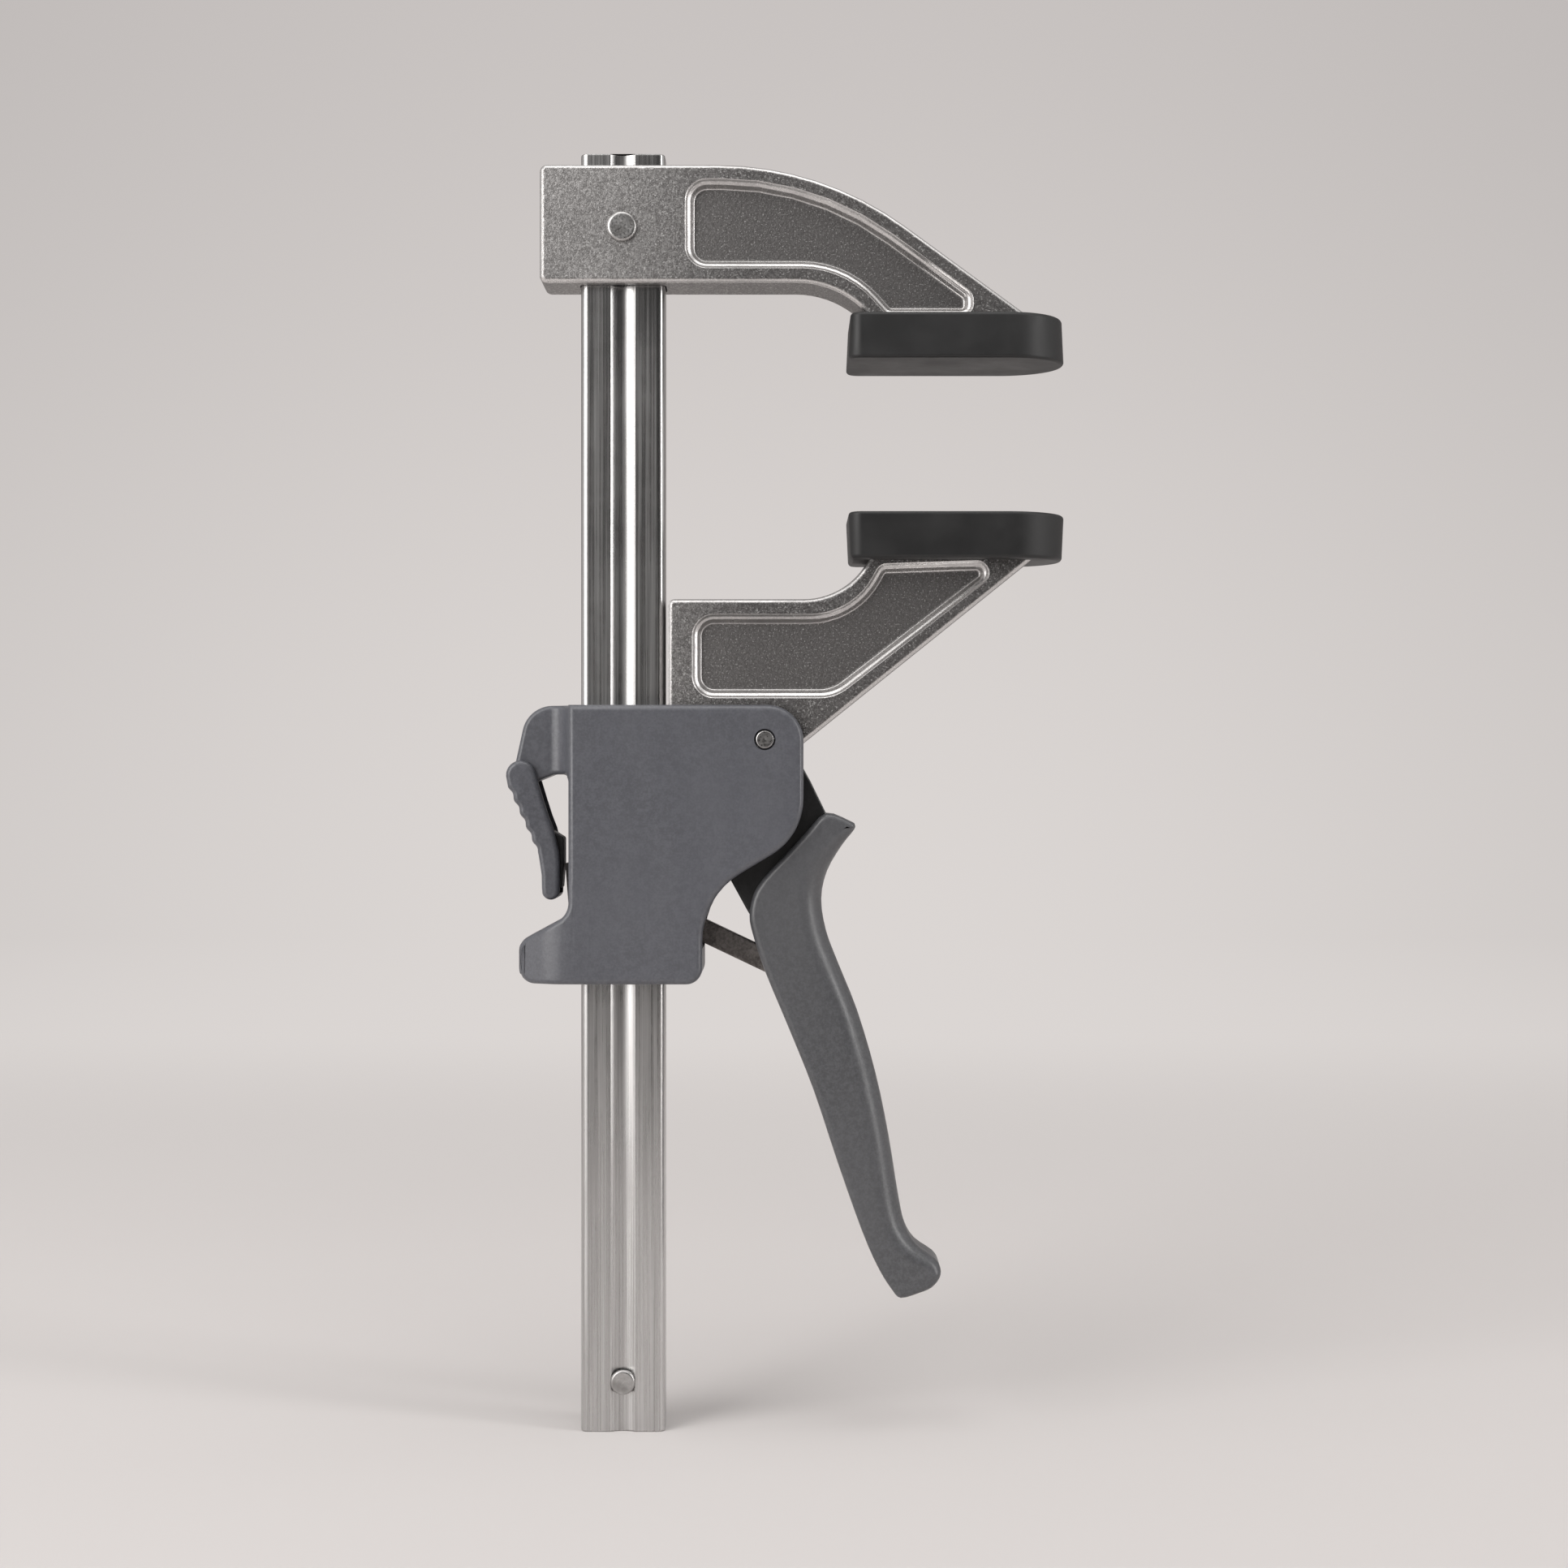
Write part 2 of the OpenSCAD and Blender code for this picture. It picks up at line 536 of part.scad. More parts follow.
module jaw_guide_strap() color("silver") {
    inner = tail_half + seat_gap;
    outer = inner + strap_t;
    x0 = -bar_w / 2 - bar_gap;
    difference() {
        box([x0 - strap_t, -outer, strap_z0], [tail_x1 - pass_gap, outer, strap_z0 + strap_h]);
        box([x0, -inner, strap_z0 - over], [tail_x1 + over, inner, strap_z0 + strap_h + over]);
        for (z = strap_rivet_heights()) cross_pin(strap_rivet_x, z, strap_rivet_d / 2, -arm_t, arm_t);
    }
}

module strap_rivets() color("gainsboro") {
    seat = tail_half + seat_gap + strap_t;
    for (z = strap_rivet_heights()) translate([strap_rivet_x, 0, 0])
        headed_pin(z, strap_rivet_d, strap_rivet_d * 1.7, strap_t * 0.7, seat);
}

// Outlines of the housing: the full body, the ear above and the foot below
body_corners = [[shell_x0, shell_low_z, 0], [shell_low_reach, shell_low_z, shell_wall * 1.8],
    [shell_low_reach, slope_z, shell_reach * 0.43], [shell_reach, bend_z, shell_reach * 0.36],
    [shell_reach, shell_top_z, pin_drop], [shell_x0, shell_top_z, 0]];
ear_x0 = hinge_x + shell_wall * 0.75;
ear_low_z = hinge_z + shell_wall * 0.1;
ear_root_x = shell_x0 + shell_wall * 2;
ear_corners = [[hinge_x - lever_r * 0.45, hinge_z - lever_r * 0.5, lever_r * 0.45],
    [hinge_x + lever_r * 0.6, hinge_z - lever_r * 0.62, lever_r * 0.3],
    [shell_x0 - shell_wall * 1.9, ear_low_z, shell_wall], [shell_x0, ear_low_z, shell_wall * 0.9],
    [shell_x0, hinge_z - shell_h * 0.09, 0], [ear_root_x, hinge_z - shell_h * 0.09, 0],
    [ear_root_x, shell_top_z, 0], [ear_x0, shell_top_z, shell_h * 0.11],
    [hinge_x - lever_r * 0.45, hinge_z + lever_r * 0.6, lever_r * 0.45]];
foot_top_z = shell_low_z + shell_h * 0.2475;
foot_corners = [[-foot_reach, shell_low_z, shell_wall * 1.8], [ear_root_x, shell_low_z, 0],
    [ear_root_x, foot_top_z + shell_wall * 4, 0], [shell_x0, foot_top_z + shell_wall * 4, 0],
    [shell_x0, foot_top_z, shell_wall * 2.2],
    [-foot_reach, foot_top_z - (foot_reach + shell_x0) * 0.53, shell_wall * 2]];

// Seen from above: the ear is thin with a hollow blend, the foot curves back
function ear_plan() = let (h = shell_t / 2, x = shell_x0) rounded([[-foot_reach * 1.2, -ear_half, 0],
    [x - shell_wall * 0.9, -ear_half, shell_wall * 2], [x, -h + shell_wall * 0.6, 0],
    [ear_root_x, -h + shell_wall * 0.6, 0], [ear_root_x, 0, 0], [-foot_reach * 1.2, 0, 0]]);
function foot_plan() = let (h = shell_t / 2) rounded([[-foot_reach, -h * 0.55, shell_wall * 1.5],
    [shell_x0 - shell_wall * 1.7, -h, h], [ear_root_x, -h, 0], [ear_root_x, 0, 0], [-foot_reach, 0, 0]]);

module lobe(corners, plan) {
    intersection() {
        plate(rounded(corners), -shell_t, 0);
        translate([0, 0, shell_low_z - over]) linear_extrude(shell_h + over * 2) polygon(plan);
    }
}

// Screws: [x, z, half thickness of the housing there]
screw_d = shell_wall;
screw_head_d = screw_d * 1.9;
screw_sink = screw_d * 0.9;
boss_r = screw_d * 0.85;
screw_places = [[-foot_reach + shell_wall * 2, shell_low_z + shell_wall * 2.3, shell_t * 0.36],
    [ear_x0 + shell_wall * 2.3, shell_top_z - shell_wall * 2.8, ear_half],
    [tail_x1 + boss_r * 1.18, root_z - boss_r * 3.2, shell_t / 2]];

// The front shell with everything that both shells share; the back one is its mirror image
module half_shell() {
    cavity = inset(rounded(body_corners), shell_wall);
    difference() {
        union() {
            difference() {
                union() {
                    soft_plate(rounded(body_corners), -shell_t / 2, 0, shell_edge_r, 0);
                    lobe(ear_corners, ear_plan());
                    lobe(foot_corners, foot_plan());
                }
                plate(cavity, -cavity_half, over);
                // The open side towards the handle and the arm
                box([slot_x, -cavity_half, mouth_z], [shell_reach + over, over, shell_top_z + over]);
            }
            place = screw_places[2];
            cross_pin(place.x, place.y, boss_r, -shell_t / 2 + shell_edge_r, 0);
        }
        translate([0, 0, shell_low_z - over])
            linear_extrude(shell_h + over * 2) polygon(bar_section(bar_gap));
        // Way in for the release pusher and for the brake plate's upright
        box([-foot_reach * 0.75, -brake_half * 0.5 - pass_gap, brake_z],
            [shell_x0 + shell_wall + over, over, hinge_z - shell_h * 0.19]);
        // Room for the brake plate's end in the foot
        box([brake_x0 - pass_gap * 2, -brake_half - pass_gap, brake_z - brake_t - pass_gap * 3],
            [shell_x0 + shell_wall + over, over, brake_z + ledge_pin_d * 1.2]);
        // Room for the strap behind the rail
        box([-bar_w / 2 - bar_gap - strap_t - pass_gap, -tail_half - strap_t - pass_gap * 2,
            strap_z0 - pass_gap * 2],
            [0, over, strap_z0 + strap_h + jaw_travel + pass_gap * 2]);
        cross_pin(pin_x, pin_z, pin_d / 2 + pin_gap, -shell_t, over);
        cross_pin(pin_x, pin_z, pin_d / 2 + pass_gap, -shell_t, -shell_t / 2 + shell_wall * 0.5);
        cross_pin(ledge_x, ledge_z, ledge_pin_d / 2 + pin_gap, -cavity_half, over);
        cross_pin(hinge_x, hinge_z, stud_d / 2 + pin_gap, -shell_t, over);
        for (p = screw_places) cross_pin(p.x, p.y, screw_d / 2 + pin_gap, -p.z + shell_wall * 0.7, over);
    }
}

module housing_front() color("#5a5a60") half_shell();

module housing_back() color("#5a5a60") difference() {
    mirror([0, 1, 0]) half_shell();
    for (p = screw_places) {
        cross_pin(p.x, p.y, screw_d / 2 + pin_gap, -over, shell_t);
        cross_pin(p.x, p.y, screw_head_d / 2 + seat_gap, p.z - screw_sink, shell_t);
    }
}

module shell_screws() color("#3a3a3c") for (p = screw_places) difference() {
    union() {
        cross_pin(p.x, p.y, screw_d / 2, -p.z + shell_wall * 0.9, p.z - screw_sink);
        cross_pin(p.x, p.y, screw_head_d / 2, p.z - screw_sink, p.z - screw_sink * 0.15);
    }
    // Cross recess
    for (turn = [0, 90]) translate([p.x, p.z, p.y]) rotate([0, turn, 0])
        cube([screw_head_d * 0.62, screw_sink, screw_head_d * 0.16], center = true);
}

module handle_pin() color("silver")
    cross_pin(pin_x, pin_z, pin_d / 2, -shell_t / 2 + seat_gap, shell_t / 2 - seat_gap);

// Liners between the shells' faces and the rail, top and bottom
module guide_shoes() color("#2a2a2c") {
    top_z = shell_top_z - shell_wall - seat_gap;
    for (side = [0, 1]) mirror([0, side, 0]) {
        box([-bar_w / 2, bar_t / 2 + bar_gap, top_z - shell_wall * 1.5],
            [bar_w / 2, cavity_half - seat_gap, top_z]);
        box([0, bar_t / 2 + bar_gap, floor_z + seat_gap],
            [bar_w / 2, cavity_half - seat_gap, floor_z + shell_wall * 0.5]);
    }
}

module brake_ledge_pin() color("silver")
    cross_pin(ledge_x, ledge_z, ledge_pin_d / 2, -cavity_half + seat_gap, cavity_half - seat_gap);

// The brake plate as it grips: tilted about its ledge, its far end high
module brake_plate() color("#48484a") {
    play = bar_gap + pass_gap * 0.4;
    translate([ledge_x, 0, brake_z]) rotate([0, -brake_tilt, 0])
        translate([-ledge_x, 0, -brake_z]) difference() {
            union() {
                box([brake_x0, -brake_half, brake_z - brake_t], [brake_x1, brake_half, brake_z]);
                box([shell_x0 + pass_gap, -brake_half * 0.45, brake_z - brake_t],
                    [shell_x0 + pass_gap + tab_t, brake_half * 0.45, brake_z + tab_h]);
            }
            box([-bar_w / 2 - play, -bar_t / 2 - play, brake_z - brake_t - over],
                [bar_w / 2 + play, bar_t / 2 + play, brake_z + over]);
        }
}

// A coil spring's path: turns of radius r between two heights
function coil(r, z0, z1, turns, steps = 12) =
    [for (i = [0:turns * steps]) let (a = 360 * i / steps)
        [r * cos(a), r * sin(a), mix(z0, z1, i / (turns * steps))]];

module brake_spring() color("silver") {
    w = spring_r * 0.13;
    top = brake_z - brake_t + (spring_x - spring_r - w - ledge_x) * sin(brake_tilt) - w - seat_gap;
    translate([spring_x, 0, 0]) wire(coil(spring_r, floor_z + w + seat_gap * 0.5, top, 3), w);
}

// Torsion spring on the handle's pin, beside the hub
module handle_spring() color("silver") {
    r = hub_r * 0.62;
    w = hub_r * 0.08;
    y0 = core_t / 2 + w + pass_gap;
    y1 = cavity_half - w - pass_gap;
    legs = [for (p = coil(r, y0, y1, 3)) [p.x + pin_x, p.z, p.y + pin_z]];
    wire(concat([[pin_x + r, y0, pin_z - hub_r * 2.2]], legs, [[pin_x + r, y1, pin_z - hub_r * 1.5]]), w);
}

// Dark inner lever: a hub on the pin, a web out of the housing, and a blade inside the grip
link_share = 0.6772;
pin_share = 1.151;
grip_low_z = link_out_z - grip_l * link_share;
function grip_at(p) = [grip_x0 + p.x * grip_reach, p.y < link_share ? grip_low_z + p.y * grip_l :
    mix(link_out_z, pin_z, (p.y - link_share) / (pin_share - link_share))];
core_share = [[-0.04, 1.14], [-0.04, 1.03], [-0.112, 0.96], [-0.105, 0.865], [-0.015, 0.8], [0.09, 0.73],
    [0.2, 0.58], [0.36, 0.58], [0.3, 0.76], [0.33, 0.9], [0.44, 0.987], [0.4, 1.0], [0.32, 1.065],
    [0.285, 1.09], [0.235, 1.115], [0.225, 1.14]];
function core_outline() = [for (p = core_share) grip_at(p)];

// Room in the lever and the grip in which the link swings
module link_mouth(reach, y) {
    r = link_w / 2 + pass_gap;
    far_x = link_out_x - reach;
    plate([for (a = [0:15:345]) [link_out_x, link_out_z] + (r + pass_gap) * [cos(a), sin(a)]], -y, y);
    plate([[link_out_x, link_out_z - r * 1.15], [link_out_x + r, link_out_z + r],
        [link_out_x - reach * 0.3, link_out_z + reach * 0.9], [far_x, link_out_z + reach * 0.8],
        [far_x, link_out_z + reach * 0.27]], -y, y);
}

module handle_core() color("#1c1c1e") difference() {
    union() {
        plate(core_outline(), -core_t / 2, core_t / 2);
        cross_pin(pin_x, pin_z, hub_r, -core_t / 2, core_t / 2);
    }
    cross_pin(pin_x, pin_z, pin_d / 2 + pin_gap, -core_t, core_t);
    link_mouth(grip_reach * 0.5, link_t / 2 + pass_gap);
    cross_pin(link_out_x, link_out_z, link_pin_d / 2, -core_t, core_t);
}

// The grip's outline in shares of its reach and its length
grip_share = [[0.4, 1], [0.3, 0.962], [0.207, 0.922], [0.072, 0.865], [0.017, 0.828], [0, 0.788],
    [0.017, 0.751], [0.08, 0.675], [0.207, 0.555], [0.334, 0.43], [0.461, 0.279], [0.588, 0.138],
    [0.672, 0.063], [0.744, 0.0175], [0.79, 0.001], [0.884, 0.011], [0.951, 0.0225], [0.994, 0.0425],
    [0.998, 0.061], [0.968, 0.081], [0.871, 0.109], [0.816, 0.146], [0.782, 0.204], [0.727, 0.338],
    [0.66, 0.463], [0.567, 0.588], [0.465, 0.688], [0.402, 0.755], [0.376, 0.8215], [0.406, 0.88],
    [0.482, 0.933], [0.545, 0.965], [0.55, 0.976], [0.529, 0.983]];
function grip_outline() = smooth_outline([for (p = grip_share) grip_at(p)], 2);

// Edge radius at a point: large on the outer side, small inside and at both ends
function grip_radius(p, i) = let (n = len(p), side = -left_of(p[(i + n - 1) % n], p[(i + 1) % n]).x,
        share = (p[i].y - grip_low_z) / grip_l,
        full = min(1, max(0, (share - 0.07) / 0.1), max(0, (0.97 - share) / 0.1)))
    mix(grip_inner_r, grip_outer_r, full * max(0, side));

module handle_grip() color("#58585a") difference() {
    p = grip_outline();
    r = [for (i = [0:len(p) - 1]) grip_radius(p, i)];
    rounded_plate(p, -grip_t / 2, grip_t / 2, r, r);
    plate(inset(core_outline(), -seat_gap), -core_t / 2 - seat_gap, core_t / 2 + seat_gap);
    link_mouth(grip_reach * 0.5, link_t / 2 + pass_gap);
    cross_pin(link_out_x, link_out_z, link_pin_d / 2 + pin_gap, -grip_t * 0.35, grip_t * 0.35);
}

module link_outer_pin() color("silver")
    cross_pin(link_out_x, link_out_z, link_pin_d / 2 - pin_gap / 2, -grip_t * 0.34, grip_t * 0.34);

module link_inner_pin() color("silver")
    cross_pin(link_in_x, link_in_z, link_pin_d / 2 - pin_gap / 2, -tail_half, tail_half);

module toggle_link() color("#4a4340") {
    angle = atan2(link_out_z - link_in_z, link_out_x - link_in_x);
    r = link_w / 2;
    difference() {
        plate(concat(
            [for (a = [90:15:270]) [link_in_x, link_in_z] + r * [cos(a + angle), sin(a + angle)]],
            [for (a = [-90:15:90]) [link_out_x, link_out_z] + r * [cos(a + angle), sin(a + angle)]]),
            -link_t / 2, link_t / 2);
        cross_pin(link_in_x, link_in_z, link_pin_d / 2, -link_t, link_t);
        cross_pin(link_out_x, link_out_z, link_pin_d / 2 + pin_gap, -link_t, link_t);
    }
}

// The release lever's outline in shares of its length, from its hinge
lever_right_share = [[0.17, -0.18], [0.21, -0.305], [0.245, -0.395], [0.268, -0.487],
    [0.289, -0.58], [0.295, -0.669]];
rib_from = [-0.095, -0.09];
rib_to = [0.135, -0.6];
rib_count = 5;
rib_share = 0.014;
function lever_at(p) = [hinge_x, hinge_z] + lever_l * p;
function lever_side(e = 0) = [for (k = [0:rib_count * 4]) let (t = k / (rib_count * 4))
    lever_at([mix(rib_from.x, rib_to.x, t), mix(rib_from.y, rib_to.y, t)]
    + (0.5 - 0.5 * cos(360 * k / 4)) * rib_share * unit([rib_from.y - rib_to.y, rib_to.x - rib_from.x]))];
function lever_outline() = concat(lever_side(),
    [lever_at([0.158, -0.75]), lever_at([0.16, -0.85])],
    [for (a = [200:20:340]) lever_at([0.2275, -0.87]) + lever_l * 0.0675 * [cos(a), sin(a)]],
    [lever_at([0.295, -0.8])],
    [for (k = [5:-1:0]) lever_at(lever_right_share[k])],
    [for (a = [15:25:190]) [hinge_x, hinge_z] + lever_r * [cos(a), sin(a)]]);

// The hollow between the lever's cheeks, open towards the housing
function lever_channel(p) = let (n = len(p)) [for (i = [0:n - 1])
    inner_point(p, i, lever_wall)
    + (left_of(p[(i + n - 1) % n], p[(i + 1) % n]).x < 0 ? [lever_wall * 2.2, 0] : [0, 0])];

module release_lever() color("#5a5a60") {
    p = lever_outline();
    difference() {
        rounded_plate(p, -lever_t / 2, lever_t / 2, lever_wall * 0.55, lever_wall * 0.55);
        half = ear_half + pass_gap;
        plate(lever_channel(p), -half, half);
        box([hinge_x - lever_r + lever_wall, -half, hinge_z - lever_wall],
            [hinge_x + lever_l, half, hinge_z + lever_r * 2]);
    }
    for (side = [0, 1]) mirror([0, side, 0])
        cross_pin(hinge_x, hinge_z, stud_d / 2, -ear_half - pass_gap - lever_wall * 0.4, -ear_half * 0.55);
}

// Dark block inside the lever that presses the brake plate's upright. Its face leans back
// below the upright's top, so that it lies flat on the upright when the lever is pressed.
module release_pusher() color("#1c1c1e") {
    half = brake_half * 0.5 - pass_gap;
    touch_z = brake_z + tab_h;
    x1 = shell_x0 - tab_h * sin(brake_tilt) - pass_gap * 0.3;
    low = lever_at([0.16, -0.85]) + [lever_wall + seat_gap, 0];
    side = lever_at(rib_to) + [lever_wall * 1.5, 0];
    high = lever_at(mix(rib_from, rib_to, 0.65)) + [lever_wall * 1.5, 0];
    lean = (touch_z - low.y) * sin(brake_tilt);
    plate([low, [x1 - lean, low.y], [x1, touch_z], [x1, high.y - lever_wall],
        high + lever_wall * [1, 1], high, side], -half, half);
}

guide_bar();
fixed_jaw();
fixed_jaw_rivet();
fixed_jaw_pad();
bar_stop_pin();
housing_front();
housing_back();
shell_screws();
handle_pin();
guide_shoes();
brake_ledge_pin();
brake_spring();
handle_spring();
sliding_jaw();
sliding_jaw_pad();
jaw_guide_strap();
strap_rivets();
handle_core();
handle_grip();
link_outer_pin();
toggle_link();
link_inner_pin();
brake_plate();
release_lever();
release_pusher();
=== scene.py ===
# Quick release bar clamp, dressed for its picture. Metres throughout, in the part's own frame:
# the bar stands along Z with its foot at the origin, the jaws reach out along X, Y is the back.
import math

import bmesh
import bpy
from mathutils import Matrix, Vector


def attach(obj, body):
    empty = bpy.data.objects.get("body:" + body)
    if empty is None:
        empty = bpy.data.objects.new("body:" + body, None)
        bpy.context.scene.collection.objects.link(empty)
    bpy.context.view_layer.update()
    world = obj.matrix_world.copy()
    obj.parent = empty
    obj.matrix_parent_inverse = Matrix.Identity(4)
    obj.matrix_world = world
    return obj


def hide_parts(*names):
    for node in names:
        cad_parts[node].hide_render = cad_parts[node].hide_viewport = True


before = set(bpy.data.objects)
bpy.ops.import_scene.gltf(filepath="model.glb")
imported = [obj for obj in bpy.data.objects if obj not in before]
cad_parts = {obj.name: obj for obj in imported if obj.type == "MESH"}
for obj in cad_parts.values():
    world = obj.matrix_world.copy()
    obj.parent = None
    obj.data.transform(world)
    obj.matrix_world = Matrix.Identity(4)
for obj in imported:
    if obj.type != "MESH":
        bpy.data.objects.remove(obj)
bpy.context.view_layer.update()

# Studio
# A seamless pale paper sweep: flat floor under the bar's foot, rising in a wide curve far
# behind it. Painted paper, matt, with a very faint cloudiness.
mm = 0.001


class Wire:
    """A value inside a material. Sums and products on it add Math nodes."""

    def __init__(self, tree, out=None):
        self.tree, self.out = tree, out

    def node(self, kind, settings, sockets, out=0):
        n = self.tree.nodes.new(kind)
        for key, value in settings.items():
            if key == "stops":
                ramp = n.color_ramp
                while len(ramp.elements) < len(value):
                    ramp.elements.new(0.5)
                for element, (place, shade) in zip(ramp.elements, value):
                    element.position, element.color = place, shade
            else:
                setattr(n, key, value)
        for key, value in sockets.items():
            if isinstance(value, Wire):
                self.tree.links.new(value.out, n.inputs[key])
            else:
                n.inputs[key].default_value = value
        return Wire(self.tree, n.outputs[out])

    def maths(self, operation, a, b):
        return self.node("ShaderNodeMath", {"operation": operation}, {0: a, 1: b})

    def __add__(self, other):
        return self.maths("ADD", self, other)

    def __sub__(self, other):
        return self.maths("SUBTRACT", self, other)

    def __rsub__(self, other):
        return self.maths("SUBTRACT", other, self)

    def __mul__(self, other):
        return self.maths("MULTIPLY", self, other)

    __radd__, __rmul__ = __add__, __mul__


def grey(level, tint=(1, 1, 1)):
    """A colour from the 0 to 255 level that it has in a picture."""
    share = level / 255
    linear = ((share + 0.055) / 1.055) ** 2.4 if share > 0.04 else share / 12.92
    return tuple(linear * t for t in tint) + (1,)


def noise(wire, at, scale, detail=3.0, roughness=0.55):
    return wire.node("ShaderNodeTexNoise", {}, {"Vector": at, "Scale": scale, "Detail": detail,
                                                "Roughness": roughness}, "Fac")


def ramp(wire, value, low, high, a=0.0, b=1.0):
    return wire.node("ShaderNodeMapRange", {"interpolation_type": "SMOOTHSTEP"},
                     {"Value": value, "From Min": low, "From Max": high, "To Min": a, "To Max": b})


def blend(wire, share, a, b):
    return wire.node("ShaderNodeMix", {"data_type": "RGBA"}, {0: share, 6: a, 7: b}, 2)


def stretched(wire, at, scale):
    return wire.node("ShaderNodeMapping", {}, {"Vector": at, "Scale": scale})


def new_look(name):
    look = bpy.data.materials.new(name)
    look.use_nodes = True
    wire = Wire(look.node_tree)
    at = wire.node("ShaderNodeTexCoord", {}, {}, "Object")
    return look, wire, at, look.node_tree.nodes["Principled BSDF"]


def feed(look, skin, links, plain):
    """Joins wires to the shader's sockets and sets the plain ones."""
    for key, value in links.items():
        look.node_tree.links.new(value.out, skin.inputs[key])
    for key, value in plain.items():
        skin.inputs[key].default_value = value


def bumped(wire, height, strength, distance):
    return wire.node("ShaderNodeBump", {}, {"Height": height, "Strength": strength,
                                            "Distance": distance}, "Normal")


def paper_look():
    """Away from the part the paper glows for camera rays, with painted falloff darkening it upwards and to
    the sides; near the part it keeps its shadows.
    """
    look, wire, at, skin = new_look("studio paper")
    cloud = noise(wire, at, 1.3, 2.0)
    tone = blend(wire, cloud, grey(206, (1, 0.955, 0.942)), grey(211, (1, 0.96, 0.945)))
    depth = wire.node("ShaderNodeSeparateXYZ", {}, {0: at}, 1)
    height = wire.node("ShaderNodeSeparateXYZ", {}, {0: at}, 2)
    seen = wire.node("ShaderNodeLightPath", {}, {}, "Is Camera Ray")
    far = ramp(wire, depth, 0.25, 1.1) * seen
    side = wire.node("ShaderNodeMath", {"operation": "ABSOLUTE"},
                     {0: wire.node("ShaderNodeSeparateXYZ", {}, {0: at}, 0)})
    # Painted falloff: the glowing backdrop is darker higher up, and darker again towards the sides.
    wall = blend(wire, ramp(wire, height, 0.0, 1.2), grey(219, (1, 0.948, 0.922)),
                 grey(199, (1, 0.942, 0.92)))
    wall = blend(wire, ramp(wire, side, 0.1, 1.3, 0.0, 0.24), wall, grey(150, (1, 0.94, 0.92)))
    feed(look, skin, {"Base Color": blend(wire, far, tone, grey(0)),
                      "Emission Color": wall, "Emission Strength": far},
         {"Roughness": 0.9, "Specular IOR Level": 0.0})
    return look


def alone(thing):
    bpy.ops.object.select_all(action="DESELECT")
    thing.select_set(True)
    bpy.context.view_layer.objects.active = thing


def sweep():
    bpy.ops.object.select_all(action="DESELECT")
    bpy.ops.mesh.primitive_plane_add(size=1, location=(0, 0, 0))
    paper = bpy.context.object
    paper.name = "studio_sweep"
    near, back, side, height = 0.62, 2.2, 4.0, 3.6
    bpy.ops.object.mode_set(mode="EDIT")
    mesh = bmesh.from_edit_mesh(paper.data)
    for v in mesh.verts:
        v.co = Vector((math.copysign(side, v.co.x), back if v.co.y > 0 else -near, 0))
    for e in mesh.edges:
        e.select = all(v.co.y > 0 for v in e.verts)
    mesh.select_flush(False)
    bmesh.update_edit_mesh(paper.data)
    bpy.ops.mesh.extrude_region_move(TRANSFORM_OT_translate={"value": (0, 0, height)})
    bpy.ops.mesh.select_all(action="DESELECT")
    mesh = bmesh.from_edit_mesh(paper.data)
    for e in mesh.edges:
        e.select = all(v.co.y > 0 and abs(v.co.z) < mm for v in e.verts)
    bmesh.update_edit_mesh(paper.data)
    bpy.ops.mesh.bevel(offset=1.3, segments=24)
    bpy.ops.object.mode_set(mode="OBJECT")
    bpy.ops.object.shade_smooth()
    paper.data.materials.append(paper_look())


sweep()


def lamp(name, place, aim, size, power, tint):
    light = bpy.data.lights.new(name, "AREA")
    light.shape, light.size, light.size_y = "RECTANGLE", size[0], size[1]
    light.energy, light.color = power, tint
    thing = bpy.data.objects.new(name, light)
    bpy.context.collection.objects.link(thing)
    thing.location = place
    thing.rotation_euler = (Vector(aim) - Vector(place)).to_track_quat("-Z", "Y").to_euler()


middle = (0.04, 0.0, 0.17)
lamp("large softbox, left", (-1.05, -1.0, 0.7), middle, (1.0, 1.4), 15.5, (1, 0.985, 0.97))
lamp("top softbox", (0.1, -0.35, 1.6), middle, (1.5, 1.0), 8.5, (1, 0.99, 0.98))
lamp("strip softbox, right", (1.365, -0.59, 0.55), middle, (0.3, 1.2), 6.5, (1, 0.985, 0.975))

# The air is even and pale behind and above; a dark room lies in front, past the table's edge.
sky = bpy.data.worlds.new("studio air")
bpy.context.scene.world = sky
sky.use_nodes = True
air = Wire(sky.node_tree)
way = air.node("ShaderNodeTexCoord", {}, {}, "Generated")
ahead = air.node("ShaderNodeSeparateXYZ", {}, {0: way}, 1)
rise = air.node("ShaderNodeSeparateXYZ", {}, {0: way}, 2)
aside = air.node("ShaderNodeSeparateXYZ", {}, {0: way}, 0)
room = ramp(air, aside * 0.4 - ahead * 0.92, 0.66, 0.86) * (1 - ramp(air, rise, 0.25, 0.6))
colour = blend(air, room, grey(231, (1, 0.98, 0.965)), grey(58, (1, 0.97, 0.95)))
sky.node_tree.links.new(colour.out, sky.node_tree.nodes["Background"].inputs["Color"])
sky.node_tree.nodes["Background"].inputs["Strength"].default_value = 0.74

eye = bpy.data.cameras.new("camera")
eye.lens, eye.sensor_width = 60, 36
eye.clip_start = 0.01
camera = bpy.data.objects.new("camera", eye)
bpy.context.collection.objects.link(camera)
camera.location = (42.16 * mm, -688.4 * mm, 169.4 * mm)
camera.rotation_euler = (math.radians(90), 0, 0)
bpy.context.scene.camera = camera
bpy.context.scene.view_settings.view_transform = "Standard"

# Rail
# The bar: cold drawn steel, 22 by 10.5 mm, with a shallow groove rolled into both wide faces.
# It is brushed along its length and its ends are sawn and bevelled.


